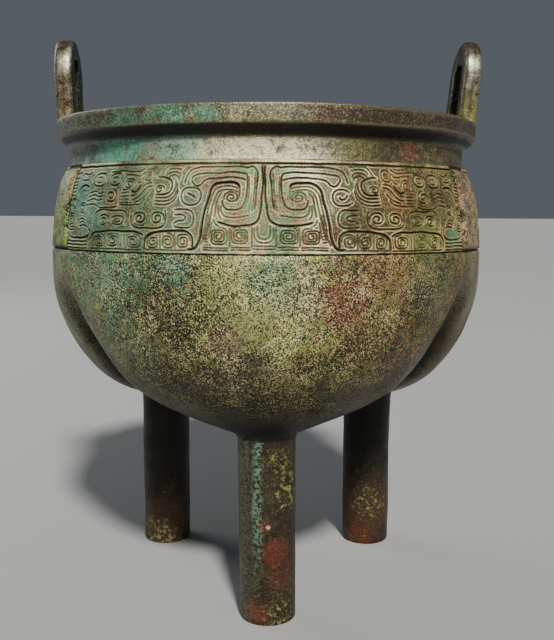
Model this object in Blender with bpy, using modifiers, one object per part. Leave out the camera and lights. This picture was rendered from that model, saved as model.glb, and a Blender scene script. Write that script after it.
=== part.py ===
"""Three-lobed bronze cauldron: a ding of the kind whose bowl swells into three lobes over three round legs.

Metres, +Z up. The origin is on the vessel's axis, in the plane its feet stand on. The front lobe and its leg
face -Y, and the two handles stand on the lip at -X and +X. The vessel is one casting, so it is one object.
"""

import math

import bmesh
import bpy
import numpy as np
from mathutils import Matrix

# Lip: a thick flange with an upright face and a sloping underside
LIP_RADIUS = 0.1000
LIP_TOP = 0.2200
LIP_FACE = 0.0082
LIP_SLOPE_HEIGHT = 0.0036
LIP_INNER_RADIUS = 0.0885
LIP_EDGE = 0.0008
LIP_LOW_EDGE = 0.0010

# Neck and band: the wall flares from the neck to the foot of the band
NECK_RADIUS = 0.0942
BAND_TOP = 0.1990
BAND_TOP_RADIUS = 0.0955
BAND_HIGH = 0.1895
BAND_HIGH_RADIUS = 0.0995
BAND_MID = 0.1740
BAND_MID_RADIUS = 0.1024
BAND_FOOT = 0.1620
BAND_FOOT_RADIUS = 0.1033
WALL = 0.0040

# Lobes: height, reach of a lobe from the axis, and the lobe's own radius at that height
LOBE_STATIONS = (
    (0.1620, 0.1033, 0.1033),
    (0.1500, 0.1041, 0.1015),
    (0.1370, 0.1052, 0.0932),
    (0.1240, 0.1040, 0.0825),
    (0.1120, 0.0988, 0.0738),
    (0.1020, 0.0915, 0.0650),
    (0.0955, 0.0860, 0.0540),
    (0.0900, 0.0812, 0.0382),
    (0.0860, 0.0775, 0.0230),
    (0.0825, 0.0733, 0.0100),
)
LOBE_AZIMUTHS = tuple(math.radians(a) for a in (-90.0, 30.0, 150.0))
CREASE_FILLET = 0.0070
CREASE_FULL_SPREAD = 0.0200
CREASE_HALF_WIDTH = 0.0065
CREASE_SINK_START = 0.0300
# How far the valley between two lobes is sunk at each height
CREASE_SINKS = (
    (0.1520, 0.0000),
    (0.1370, 0.0045),
    (0.1160, 0.0120),
    (0.1040, 0.0120),
    (0.0955, 0.0100),
    (0.0860, 0.0020),
)
LOBE_EYE = 0.1500

# Legs: round, standing where the lobes end
LEG_CIRCLE = 0.0633
LEG_AZIMUTHS = tuple(math.radians(a) for a in (-89.2, 30.0, 150.0))
LEG_LEANS = (0.0140, 0.0, 0.0)
LEG_TOP_RADIUS = 0.0127
LEG_FOOT_RADIUS = 0.0125
LEG_TOP = 0.0860
FOOT_EDGE = 0.0008

# Strips: plain raised bars between the three panels of the band
STRIP_AZIMUTHS = tuple(math.radians(a) for a in (-152.0, -28.0, 90.0))
STRIP_WIDTH = 0.0210
STRIP_LOW = 0.1630
STRIP_HIGH = 0.1975
STRIP_PROUD = 0.0012
STRIP_ROOT = 0.0015

# Handles: upright loops whose feet stand on the lip, open down to it
HANDLE_WIDTH = 0.0295
HANDLE_THICKNESS = 0.0093
HANDLE_ARCH_RISE = 0.0190
HANDLE_ROOT = 0.0045
HANDLE_EDGE = 0.0018
SLOT_WIDTH = 0.0115
SLOT_TOP = 0.2510
HANDLE_INSET = 0.0003
HANDLE_TOPS = {"left": 0.2600, "right": 0.2626}
HANDLE_AZIMUTHS = {"left": math.radians(182.5), "right": math.radians(4.0)}
HANDLE_LEANS = {"left": math.radians(1.5), "right": math.radians(6.0)}

# Fineness of the faceted solid
COLUMNS = 72
LOBE_ROWS = 16
LEG_SIDES = 24
ARCH_STEPS = 10

BRONZE = (0.15, 0.16, 0.11, 1.0)
BRONZE_ROUGHNESS = 0.55
BRONZE_METALLIC = 0.6


def clear_scene():
    for thing in list(bpy.data.objects):
        bpy.data.objects.remove(thing)


def new_collection(name):
    collection = bpy.data.collections.new(name)
    bpy.context.scene.collection.children.link(collection)
    return collection


def bronze_material():
    material = bpy.data.materials.new("patinated_bronze")
    material.use_nodes = True
    shader = material.node_tree.nodes["Principled BSDF"]
    shader.inputs["Base Color"].default_value = BRONZE
    shader.inputs["Roughness"].default_value = BRONZE_ROUGHNESS
    shader.inputs["Metallic"].default_value = BRONZE_METALLIC
    return material


def add_object(name, mesh, collection):
    thing = bpy.data.objects.new(name, mesh)
    collection.objects.link(thing)
    return thing


def smooth_curve(heights, values):
    """A smooth function of height through the stations, with no overshoot between them."""
    x = np.array(heights[::-1])
    y = np.array(values[::-1])
    slope = np.diff(y) / np.diff(x)
    tangent = np.zeros(len(x))
    tangent[0] = slope[0]
    tangent[-1] = slope[-1]
    for i in range(1, len(x) - 1):
        if slope[i - 1] * slope[i] > 0.0:
            tangent[i] = 2.0 / (1.0 / slope[i - 1] + 1.0 / slope[i])

    def value(height):
        i = int(np.clip(np.searchsorted(x, height) - 1, 0, len(x) - 2))
        span = x[i + 1] - x[i]
        t = min(max((height - x[i]) / span, 0.0), 1.0)
        start = (2 * t - 3) * t * t + 1.0
        end = 1.0 - start
        return (start * y[i] + end * y[i + 1]
                + span * t * (1 - t) * ((1 - t) * tangent[i] - t * tangent[i + 1]))

    return value


LOBE_REACH = smooth_curve([s[0] for s in LOBE_STATIONS], [s[1] for s in LOBE_STATIONS])
LOBE_RADIUS = smooth_curve([s[0] for s in LOBE_STATIONS], [s[2] for s in LOBE_STATIONS])
CREASE_SINK = smooth_curve([s[0] for s in CREASE_SINKS], [s[1] for s in CREASE_SINKS])
LOBE_FLOOR = LOBE_STATIONS[-1][0]


def outside_lobes(x, y, z):
    """How far a point lies outside the three rounded lobes; negative inside them."""
    if z <= LOBE_FLOOR:
        return LOBE_FLOOR - z + 1e-6
    radius = LOBE_RADIUS(z)
    spread = LOBE_REACH(z) - radius
    fillet = CREASE_FILLET * min(1.0, spread / CREASE_FULL_SPREAD) + 1e-6
    nearest = None
    for azimuth in LOBE_AZIMUTHS:
        gap = math.hypot(x - spread * math.cos(azimuth), y - spread * math.sin(azimuth)) - radius
        if nearest is None:
            nearest = gap
        else:
            overlap = max(fillet - abs(nearest - gap), 0.0)
            nearest = min(nearest, gap) - overlap * overlap / (4.0 * fillet)
    sink = max(CREASE_SINK(z), 0.0)
    for azimuth in LOBE_AZIMUTHS:
        crease = azimuth + math.pi / 3.0
        along = x * math.cos(crease) + y * math.sin(crease)
        across = y * math.cos(crease) - x * math.sin(crease)
        if along > 0.0:
            share = min(along / CREASE_SINK_START, 1.0)
            nearest += sink * share * math.exp(-((across / CREASE_HALF_WIDTH) ** 2))
    return nearest


def lobe_point(azimuth, elevation):
    """The point of the lobed surface seen from the eye on the axis in one direction."""
    along = (
        math.cos(elevation) * math.cos(azimuth),
        math.cos(elevation) * math.sin(azimuth),
        math.sin(elevation),
    )
    near = 0.0
    far = 2.0 * LIP_RADIUS
    for _ in range(40):
        middle = 0.5 * (near + far)
        place = (along[0] * middle, along[1] * middle, LOBE_EYE + along[2] * middle)
        if outside_lobes(*place) < 0.0:
            near = middle
        else:
            far = middle
    return (along[0] * near, along[1] * near, LOBE_EYE + along[2] * near)


def bowl_shell(collection):
    """The wall as one thin shell, from inside the lip down to the point where the three lobes meet."""
    upper = (
        (NECK_RADIUS, LIP_TOP - 0.5 * LIP_FACE),
        (NECK_RADIUS, BAND_TOP + 0.0010),
        (BAND_TOP_RADIUS, BAND_TOP),
        (BAND_HIGH_RADIUS, BAND_HIGH),
        (0.5 * (BAND_HIGH_RADIUS + BAND_MID_RADIUS) + 0.0004, 0.5 * (BAND_HIGH + BAND_MID)),
        (BAND_MID_RADIUS, BAND_MID),
        (BAND_FOOT_RADIUS, BAND_FOOT),
    )
    azimuths = [2.0 * math.pi * i / COLUMNS for i in range(COLUMNS)]
    rows = [[(r * math.cos(a), r * math.sin(a), z) for a in azimuths] for r, z in upper]
    start = math.atan2(BAND_FOOT - LOBE_EYE, BAND_FOOT_RADIUS)
    for i in range(1, LOBE_ROWS):
        elevation = start - (start + 0.5 * math.pi) * i / LOBE_ROWS
        rows.append([lobe_point(a, elevation) for a in azimuths])

    shape = bmesh.new()
    rings = [[shape.verts.new(place) for place in row] for row in rows]
    crotch = shape.verts.new(lobe_point(0.0, -0.5 * math.pi))
    for above, below in zip(rings, rings[1:]):
        for i in range(COLUMNS):
            j = (i + 1) % COLUMNS
            shape.faces.new((above[i], below[i], below[j], above[j]))
    for i in range(COLUMNS):
        shape.faces.new((rings[-1][i], crotch, rings[-1][(i + 1) % COLUMNS]))
    mesh = bpy.data.meshes.new("bowl_wall")
    shape.to_mesh(mesh)
    shape.free()

    bowl = add_object("ding_vessel", mesh, collection)
    wall = bowl.modifiers.new("wall", "SOLIDIFY")
    wall.thickness = WALL
    wall.offset = -1.0
    wall.use_even_offset = True
    return bowl


def turned(name, profile, collection):
    """A closed profile, given down its outer side and up its inner one, turned about the axis."""
    mesh = bpy.data.meshes.new(name)
    count = len(profile)
    mesh.from_pydata(
        [(r, 0.0, z) for r, z in profile],
        [(i, (i + 1) % count) for i in range(count)],
        [],
    )
    ring = add_object(name, mesh, collection)
    turn = ring.modifiers.new("turn", "SCREW")
    turn.axis = "Z"
    turn.angle = 2.0 * math.pi
    turn.steps = COLUMNS
    turn.render_steps = COLUMNS
    turn.use_merge_vertices = True
    turn.merge_threshold = 0.00001
    return ring


def lip(collection):
    face_foot = LIP_TOP - LIP_FACE
    slope_foot = face_foot - LIP_SLOPE_HEIGHT
    profile = (
        (LIP_RADIUS - LIP_EDGE, LIP_TOP),
        (LIP_RADIUS, LIP_TOP - LIP_EDGE),
        (LIP_RADIUS, face_foot + LIP_LOW_EDGE),
        (LIP_RADIUS - 0.3 * LIP_LOW_EDGE, face_foot + 0.3 * LIP_LOW_EDGE),
        (LIP_RADIUS - LIP_LOW_EDGE, face_foot),
        (NECK_RADIUS - 0.0005, slope_foot),
        (NECK_RADIUS - 0.5 * WALL, slope_foot - 0.0010),
        (LIP_INNER_RADIUS, slope_foot + 0.0030),
        (LIP_INNER_RADIUS, LIP_TOP - LIP_EDGE),
        (LIP_INNER_RADIUS + LIP_EDGE, LIP_TOP),
    )
    return turned("lip", profile, collection)


def leg(index, azimuth, lean, collection):
    """A leg that tapers a little to its foot and ends inside the metal of the lobe above it.

    Its foot stays level, and stands a little to +X of its top where the leg leans.
    """
    profile = (
        (LEG_TOP_RADIUS, LEG_TOP),
        (LEG_FOOT_RADIUS, FOOT_EDGE),
        (LEG_FOOT_RADIUS - FOOT_EDGE, 0.0),
    )
    shape = bmesh.new()
    rings = []
    for radius, height in profile:
        ring = []
        for i in range(LEG_SIDES):
            turn = 2.0 * math.pi * i / LEG_SIDES
            across = radius * math.cos(turn) + lean * (LEG_TOP - height)
            ring.append(shape.verts.new((across, radius * math.sin(turn), height)))
        rings.append(ring)
    for above, below in zip(rings, rings[1:]):
        for i in range(LEG_SIDES):
            j = (i + 1) % LEG_SIDES
            shape.faces.new((above[i], below[i], below[j], above[j]))
    shape.faces.new(rings[0])
    shape.faces.new(rings[-1][::-1])
    mesh = bpy.data.meshes.new("leg")
    shape.to_mesh(mesh)
    shape.free()
    post = add_object("leg_%d" % index, mesh, collection)
    post.location = (LEG_CIRCLE * math.cos(azimuth), LEG_CIRCLE * math.sin(azimuth), 0.0)
    return post


def band_radius(height):
    return float(np.interp(
        height,
        (BAND_FOOT, BAND_MID, BAND_HIGH, BAND_TOP),
        (BAND_FOOT_RADIUS, BAND_MID_RADIUS, BAND_HIGH_RADIUS, BAND_TOP_RADIUS),
    ))


def strip(index, azimuth, collection):
    """A raised bar bent round the band: a box whose points are laid on the wall's curve."""
    shape = bmesh.new()
    bmesh.ops.create_cube(shape, size=1.0)
    upright = [e for e in shape.edges if abs(e.verts[0].co.z - e.verts[1].co.z) > 0.5]
    across = [e for e in shape.edges if abs(e.verts[0].co.x - e.verts[1].co.x) > 0.5]
    bmesh.ops.subdivide_edges(shape, edges=upright + across, cuts=3, use_grid_fill=True)
    for vertex in shape.verts:
        height = STRIP_LOW + (vertex.co.z + 0.5) * (STRIP_HIGH - STRIP_LOW)
        turn = azimuth + vertex.co.x * STRIP_WIDTH / BAND_MID_RADIUS
        outward = STRIP_PROUD if vertex.co.y < 0.0 else -STRIP_ROOT
        radius = band_radius(height) + outward
        vertex.co = (radius * math.cos(turn), radius * math.sin(turn), height)
    mesh = bpy.data.meshes.new("strip")
    shape.to_mesh(mesh)
    shape.free()
    return add_object("strip_%d" % index, mesh, collection)


def handle_outline(top):
    """The loop seen from outside the vessel, in its own plane, with its feet at height zero."""
    half = 0.5 * HANDLE_WIDTH
    rise = top - LIP_TOP + HANDLE_ROOT
    spring = rise - HANDLE_ARCH_RISE
    slot_half = 0.5 * SLOT_WIDTH
    slot_spring = SLOT_TOP - LIP_TOP + HANDLE_ROOT - slot_half
    points = [(-half, 0.0)]
    for i in range(ARCH_STEPS + 1):
        turn = math.pi * (1.0 - i / ARCH_STEPS)
        points.append((half * math.cos(turn), spring + HANDLE_ARCH_RISE * math.sin(turn)))
    points.append((half, 0.0))
    points.append((slot_half, 0.0))
    for i in range(ARCH_STEPS + 1):
        turn = math.pi * i / ARCH_STEPS
        points.append((slot_half * math.cos(turn), slot_spring + slot_half * math.sin(turn)))
    points.append((-slot_half, 0.0))
    return points


def handle(side, collection):
    """An upright loop flush with the lip's outer face, leaning a little outward."""
    name = "handle_" + side
    points = handle_outline(HANDLE_TOPS[side])
    outline = bpy.data.curves.new(name, "CURVE")
    outline.dimensions = "2D"
    outline.fill_mode = "BOTH"
    outline.extrude = 0.5 * HANDLE_THICKNESS - HANDLE_EDGE
    outline.bevel_depth = HANDLE_EDGE
    outline.bevel_resolution = 1
    outline.offset = -HANDLE_EDGE
    outline.render_resolution_u = 0
    spline = outline.splines.new("POLY")
    spline.points.add(len(points) - 1)
    for point, (across, up) in zip(spline.points, points):
        point.co = (across, up, 0.0, 1.0)
    spline.use_cyclic_u = True
    flat = add_object(name + "_outline", outline, collection)
    bpy.context.view_layer.update()
    solid = flat.evaluated_get(bpy.context.evaluated_depsgraph_get())
    mesh = bpy.data.meshes.new_from_object(solid)
    bpy.data.objects.remove(flat)

    shape = bmesh.new()
    shape.from_mesh(mesh)
    bmesh.ops.remove_doubles(shape, verts=shape.verts, dist=0.00001)
    shape.to_mesh(mesh)
    shape.free()
    loop = add_object(name, mesh, collection)

    azimuth = HANDLE_AZIMUTHS[side]
    stand = Matrix.Rotation(azimuth + 0.5 * math.pi, 4, "Z") @ Matrix.Rotation(0.5 * math.pi, 4, "X")
    lean = Matrix.Rotation(HANDLE_LEANS[side], 4, (-math.sin(azimuth), math.cos(azimuth), 0.0))
    foot_radius = LIP_RADIUS - 0.5 * HANDLE_THICKNESS - HANDLE_INSET
    foot = (foot_radius * math.cos(azimuth), foot_radius * math.sin(azimuth), LIP_TOP - HANDLE_ROOT)
    loop.matrix_world = Matrix.Translation(foot) @ lean @ stand
    return loop


def join(vessel, piece):
    """Cast one piece onto the vessel; the piece itself stays hidden as a construction shape."""
    piece.hide_render = True
    piece.display_type = "WIRE"
    union = vessel.modifiers.new("join_" + piece.name, "BOOLEAN")
    union.operation = "UNION"
    union.solver = "EXACT"
    union.object = piece


def build():
    clear_scene()
    vessel_parts = new_collection("ding_vessel")
    shapes = new_collection("construction_shapes")
    vessel = bowl_shell(vessel_parts)
    join(vessel, lip(shapes))
    for index, (azimuth, lean) in enumerate(zip(LEG_AZIMUTHS, LEG_LEANS)):
        join(vessel, leg(index, azimuth, lean, shapes))
    for index, azimuth in enumerate(STRIP_AZIMUTHS):
        join(vessel, strip(index, azimuth, shapes))
    for side in HANDLE_AZIMUTHS:
        join(vessel, handle(side, shapes))
    vessel.data.materials.append(bronze_material())
    vessel.data.shade_smooth()


build()
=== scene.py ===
"""Three-lobed bronze ding: its cast surface, mask relief and patina, built on the vessel's fixed frame.

Metres, +Z up, the front lobe and leg towards -Y. The frieze's pattern is drawn in millimetres on the
unrolled band, across from the middle of a panel and up from the band's foot.
"""

import math

import bmesh
import bpy
import numpy as np
from bpy.props import FloatProperty, FloatVectorProperty, IntProperty, PointerProperty
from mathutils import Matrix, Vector, noise


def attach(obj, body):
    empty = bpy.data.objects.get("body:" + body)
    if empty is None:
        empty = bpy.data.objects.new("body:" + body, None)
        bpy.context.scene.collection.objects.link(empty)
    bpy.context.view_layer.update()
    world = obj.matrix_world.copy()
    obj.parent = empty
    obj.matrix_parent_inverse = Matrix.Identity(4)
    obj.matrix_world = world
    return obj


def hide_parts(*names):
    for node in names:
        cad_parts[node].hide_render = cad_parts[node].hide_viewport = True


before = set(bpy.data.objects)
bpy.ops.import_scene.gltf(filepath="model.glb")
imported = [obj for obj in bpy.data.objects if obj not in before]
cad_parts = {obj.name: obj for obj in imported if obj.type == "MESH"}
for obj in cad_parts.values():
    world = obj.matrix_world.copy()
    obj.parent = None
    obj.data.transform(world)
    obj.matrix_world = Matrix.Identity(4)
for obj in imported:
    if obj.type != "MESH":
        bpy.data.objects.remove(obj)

bl_info = {
    "name": "Bronze ding vessel",
    "version": (1, 0, 0),
    "blender": (4, 5, 0),
    "location": "3D View > Sidebar > Ding vessel",
    "description": "Builds the cast surface, mask relief and patina of a three-lobed bronze cauldron",
    "category": "Object",
}

VESSEL = "ding_vessel"
BODY = "root"
MM = 0.001

# Lip and neck, as the solid has them
LIP_RADIUS = 0.1000
LIP_TOP = 0.2200
LIP_FACE_FOOT = 0.2124
LIP_SLOPE_FOOT = 0.2086
LIP_INNER_RADIUS = 0.0885
NECK_RADIUS = 0.0942
WALL = 0.0040

# Band: heights and radii of its curve
BAND_FOOT = 0.1620
BAND_TOP = 0.1990
BAND_HEIGHTS = (0.1620, 0.1740, 0.1895, 0.1990)
BAND_RADII = (0.1033, 0.1024, 0.0995, 0.0955)

# Lobes, bottom to top: height, reach from the axis, radius of one lobe
LOBE_STATIONS = (
    (0.0825, 0.0733, 0.0100),
    (0.0860, 0.0775, 0.0230),
    (0.0900, 0.0812, 0.0382),
    (0.0955, 0.0860, 0.0540),
    (0.1020, 0.0915, 0.0650),
    (0.1120, 0.0988, 0.0738),
    (0.1240, 0.1040, 0.0825),
    (0.1370, 0.1052, 0.0932),
    (0.1500, 0.1041, 0.1015),
    (0.1620, 0.1033, 0.1033),
)
LOBE_AZIMUTHS = tuple(math.radians(a) for a in (-90.0, 30.0, 150.0))
CREASE_FILLET = 0.0070
CREASE_FULL_SPREAD = 0.0200
# How far each valley between two lobes is sunk, by height, and half its width
CREASE_SINKS = (
    (0.0860, 0.0020),
    (0.0955, 0.0100),
    (0.1040, 0.0120),
    (0.1160, 0.0120),
    (0.1370, 0.0045),
    (0.1520, 0.0000),
)
CREASE_HALF_WIDTH = 0.0065
CREASE_START = 0.0300
# Height on the axis from which the bowl is measured outwards
LOBE_EYE = 0.1500
# How far the bowl's worn surface lies inside the solid's, and the groove where it meets the band
BOWL_INSET = 0.00013
BAND_GROOVE_DEPTH = 0.0007
BAND_GROOVE_WIDTH = 0.0008

# Legs
LEG_CIRCLE = 0.0633
LEG_AZIMUTHS = tuple(math.radians(a) for a in (-89.2, 30.0, 150.0))
LEG_LEANS = (0.0140, 0.0, 0.0)
LEG_TOP = 0.0860
LEG_RADII = (0.0125, 0.0127)
LEG_INTO_LOBE = 0.0060
FOOT_ROUNDING = 0.0016

# Handles
HANDLE_WIDTH = 0.0295
HANDLE_THICKNESS = 0.0093
HANDLE_ARCH_RISE = 0.0190
HANDLE_ROOT = 0.0045
HANDLE_INSET = 0.0003
SLOT_WIDTH = 0.0115
SLOT_TOP = 0.2510
# Each handle's azimuth, lean outwards and height
HANDLES = {
    "left": (math.radians(182.5), math.radians(1.5), 0.2600),
    "right": (math.radians(4.0), math.radians(6.0), 0.2626),
}

# Strips between the frieze's panels
STRIP_AZIMUTHS = {"left": math.radians(-152.0), "right": math.radians(-28.0), "back": math.radians(90.0)}
STRIP_WIDTH = 0.0210
STRIP_RADIUS = BAND_RADII[1]
STRIP_LOW = 0.1630
STRIP_HIGH = 0.1975
STRIP_RISE = 0.0015

# Frieze pattern, in millimetres: radius at which the band is unrolled, half a panel as drawn, how much
# narrower the mirrored half is, and where on it the outer grooves start to stretch back
UNROLL_RADIUS = 101.0
DRAWN_HALF = 100.0
LEFT_SHARE = 0.94
STRETCH_START = 60.0

# Depth of the frieze's slabs, back from the band's curve and inside the ring behind them
SLAB_DEPTH = 0.0017

# Camera, fitted to the outlines of the lip, band and legs
SENSOR_WIDTH = 36.0
LENS = 48.49
EYE = (0.0051, -0.4310, 0.17756)
EYE_PITCH = -0.1214
EYE_ROLL = -0.0055

# Lights: where the sun stands, where the soft lights stand and how wide they are
SUN_FROM = (1.12, -5.36, 5.28)
SUN_ANGLE = 0.115
FILL_PLACE = (1.5, 0.1, 0.6)
FILL_SIZE = 1.2
RIM_PLACE = (-1.2, 0.8, 0.9)
RIM_SIZE = 0.9
LIT_POINT = (0.0, 0.0, 0.13)
FLOOR_SIZE = 60.0


def length_property(name, description, value):
    return FloatProperty(name=name, description=description, default=value, unit="LENGTH")


def power_property(name, description, value):
    return FloatProperty(name=name, description=description, default=value, unit="POWER")


def colour_property(name, description, value):
    return FloatVectorProperty(
        name=name, description=description, default=value, subtype="COLOR", size=3, min=0.0, max=1.0)


class VesselSizes(bpy.types.PropertyGroup):
    bowl_cell: length_property("Bowl cell", "Size of the bowl mesh's cells", 0.0015)
    lip_columns: IntProperty(name="Lip columns", description="Columns round the lip and neck", default=440)
    leg_fillet: length_property("Leg fillet", "Softness of the join of a leg and its lobe", 0.0018)
    unevenness: length_property("Unevenness", "How far the hand-made surface wanders", 0.00035)
    pit_depth: length_property("Pit depth", "Depth of the corroded pits", 0.00022)


class ReliefSizes(bpy.types.PropertyGroup):
    cell: length_property("Relief cell", "Size of the frieze mesh's cells", 0.000275)
    groove_depth: length_property("Groove depth", "Depth of an ordinary groove", 0.00075)
    land_rise: length_property("Land rise", "How far broad lands stand over fine ridges", 0.00024)
    lip_rise: length_property("Groove lip rise", "Height of the ridge along each groove", 0.00036)
    wander: length_property("Wander", "How far a hand-cut line strays", 0.00028)


class PatinaColours(bpy.types.PropertyGroup):
    dark: colour_property("Dark brown", "Nearly black tarnish in hollows", (0.012, 0.009, 0.005))
    olive: colour_property("Olive", "Ordinary olive-brown tarnish", (0.135, 0.114, 0.040))
    green: colour_property("Green", "Grey-green patina", (0.145, 0.200, 0.075))
    teal: colour_property("Teal", "Blue-green bloom", (0.085, 0.250, 0.185))
    leaf: colour_property("Leaf green", "Yellow-green crust", (0.205, 0.250, 0.035))
    cream: colour_property("Cream", "Pale grains and rubbed highlights", (0.740, 0.660, 0.330))
    gold: colour_property("Gold brown", "Ochre tarnish", (0.210, 0.125, 0.036))
    red: colour_property("Red", "Cuprite red", (0.150, 0.040, 0.022))


class StageSettings(bpy.types.PropertyGroup):
    key_power: FloatProperty(name="Key light", description="Strength of the key light", default=5.3)
    fill_power: power_property("Fill light", "Power of the fill light", 1.8)
    rim_power: power_property("Rim light", "Power of the rear light", 8.0)
    sky: FloatProperty(name="Sky", description="Strength of the even light", default=0.13)
    key_colour: colour_property("Key colour", "Colour of the key light", (1.0, 0.98, 0.94))
    sky_colour: colour_property("Sky colour", "Colour of the even light", (0.76, 0.87, 1.0))
    floor_colour: colour_property("Floor", "Colour of the pale floor", (0.34, 0.34, 0.335))


def add_object(name, mesh):
    piece = bpy.data.objects.new(name, mesh)
    bpy.context.scene.collection.objects.link(piece)
    return piece


def finish_piece(piece, material):
    piece.data.materials.clear()
    piece.data.materials.append(material)
    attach(piece, BODY)


def mesh_points(mesh):
    flat = np.empty(len(mesh.vertices) * 3, np.float32)
    mesh.vertices.foreach_get("co", flat)
    return flat.reshape(-1, 3).astype(float)


def set_mesh_points(mesh, points):
    mesh.vertices.foreach_set("co", points.astype(np.float32).ravel())
    mesh.update()


def point_value(mesh, name, values):
    attribute = mesh.attributes.new(name, "FLOAT", "POINT")
    attribute.data.foreach_set("value", np.asarray(values, np.float32).ravel())


def shade(mesh, sharp_degrees):
    mesh.shade_smooth()
    mesh.set_sharp_from_angle(angle=math.radians(sharp_degrees))


def cloud(points, size, seed=0.0):
    """Smooth noise between about -1 and 1 at each point, with features of the given size."""
    scaled = points / size + seed
    return np.array([noise.noise(Vector(p)) for p in scaled])


def smooth_curve(places, values):
    """A smooth function through the stations, with no overshoot, straight beyond both ends."""
    x = np.array(places)
    y = np.array(values)
    slope = np.diff(y) / np.diff(x)
    tangent = np.zeros(len(x))
    tangent[0] = slope[0]
    tangent[-1] = slope[-1]
    for i in range(1, len(x) - 1):
        if slope[i - 1] * slope[i] > 0.0:
            tangent[i] = 2.0 / (1.0 / slope[i - 1] + 1.0 / slope[i])

    def value(at):
        i = np.clip(np.searchsorted(x, at) - 1, 0, len(x) - 2)
        span = x[i + 1] - x[i]
        t = np.clip((at - x[i]) / span, 0.0, 1.0)
        end = (3 - 2 * t) * t * t
        inner = ((1 - end) * y[i] + end * y[i + 1]
                 + span * t * (1 - t) * ((1 - t) * tangent[i] - t * tangent[i + 1]))
        beyond = np.minimum(at - x[0], 0.0) * slope[0] + np.maximum(at - x[-1], 0.0) * slope[-1]
        return inner + beyond

    return value


LOBE_REACH = smooth_curve([s[0] for s in LOBE_STATIONS], [s[1] for s in LOBE_STATIONS])
LOBE_RADIUS = smooth_curve([s[0] for s in LOBE_STATIONS], [s[2] for s in LOBE_STATIONS])
BAND_CURVE = smooth_curve(BAND_HEIGHTS, BAND_RADII)
CREASE_SINK = smooth_curve([s[0] for s in CREASE_SINKS], [s[1] for s in CREASE_SINKS])


def soft_min(a, b, reach):
    """The lesser of two levels, with a fillet where they meet."""
    overlap = np.maximum(reach - np.abs(a - b), 0.0)
    return np.minimum(a, b) - overlap * overlap / (4.0 * reach)


def lobe_level(points):
    """Level that is zero on the lobed bowl and negative inside it."""
    x, y, z = points.T
    radius = LOBE_RADIUS(z)
    spread = LOBE_REACH(z) - radius
    fillet = CREASE_FILLET * np.clip(spread / CREASE_FULL_SPREAD, 0.0, 1.0) + 1e-6
    level = None
    for azimuth in LOBE_AZIMUTHS:
        gap = np.hypot(x - spread * math.cos(azimuth), y - spread * math.sin(azimuth)) - radius
        level = gap if level is None else soft_min(level, gap, fillet)
    sink = np.clip(CREASE_SINK(z), 0.0, None)
    for azimuth in LOBE_AZIMUTHS:
        crease = azimuth + math.pi / 3.0
        along = x * math.cos(crease) + y * math.sin(crease)
        across = y * math.cos(crease) - x * math.sin(crease)
        started = np.clip(along / CREASE_START, 0.0, 1.0)
        level = level + sink * np.exp(-(across / CREASE_HALF_WIDTH) ** 2) * started
    lowest = LOBE_STATIONS[0][0]
    return np.where(z < lowest, lowest - z + 1e-6, level)


def slopes(level, points):
    """The level and its gradient, by small steps."""
    step = 0.0001
    here = level(points)
    gradient = np.empty_like(points)
    for axis in range(3):
        moved = points.copy()
        moved[:, axis] += step
        gradient[:, axis] = (level(moved) - here) / step
    return here, gradient


def lobe_distance(points):
    """Distance outside the lobes, near them."""
    here, gradient = slopes(lobe_level, points)
    least_slope = 0.3
    return here / np.maximum(np.linalg.norm(gradient, axis=1), least_slope)


def inside_distance(points):
    return lobe_distance(points) + WALL


def leg_distance(points, azimuth, lean):
    x, y, z = points.T
    across = LEG_CIRCLE * math.cos(azimuth) + lean * (LEG_TOP - z)
    radius = np.interp(z, (0.0, LEG_TOP), LEG_RADII)
    side = np.hypot(x - across, y - LEG_CIRCLE * math.sin(azimuth)) - radius
    above = z - LEG_TOP - LEG_INTO_LOBE
    return -soft_min(-np.maximum(side, above), z, FOOT_ROUNDING)


def vessel_distance(points):
    """Distance outside the lobes and their legs, softened where they meet."""
    fillet = bpy.context.scene.ding_sizes.leg_fillet
    level = lobe_distance(points)
    for azimuth, lean in zip(LEG_AZIMUTHS, LEG_LEANS):
        level = soft_min(level, leg_distance(points, azimuth, lean), fillet)
    return level


def pull_to(points, level, flat):
    """Moves points onto a level's zero; the flat ones keep their height."""
    longest_step = 0.002
    least_slope = 0.05
    rounds = 6
    for _ in range(rounds):
        here, gradient = slopes(level, points)
        gradient[flat, 2] = 0.0
        size = np.maximum((gradient * gradient).sum(1), least_slope)
        step = -gradient * (here / size)[:, None]
        reach = np.linalg.norm(step, axis=1)
        points = points + step * np.minimum(1.0, longest_step / np.maximum(reach, 1e-9))[:, None]
    return points


def cut_below(mesh, height, fill):
    """Keeps what is below a height, and closes the wall between its two rims if asked."""
    shape = bmesh.new()
    shape.from_mesh(mesh)
    bmesh.ops.bisect_plane(
        shape, geom=shape.verts[:] + shape.edges[:] + shape.faces[:], dist=1e-7,
        plane_co=(0.0, 0.0, height), plane_no=(0.0, 0.0, 1.0), clear_outer=True)
    if fill:
        rims = [e for e in shape.edges if e.is_boundary]
        bmesh.ops.bridge_loops(shape, edges=rims)
        bmesh.ops.recalc_face_normals(shape, faces=shape.faces)
    shape.to_mesh(mesh)
    shape.free()


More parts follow.
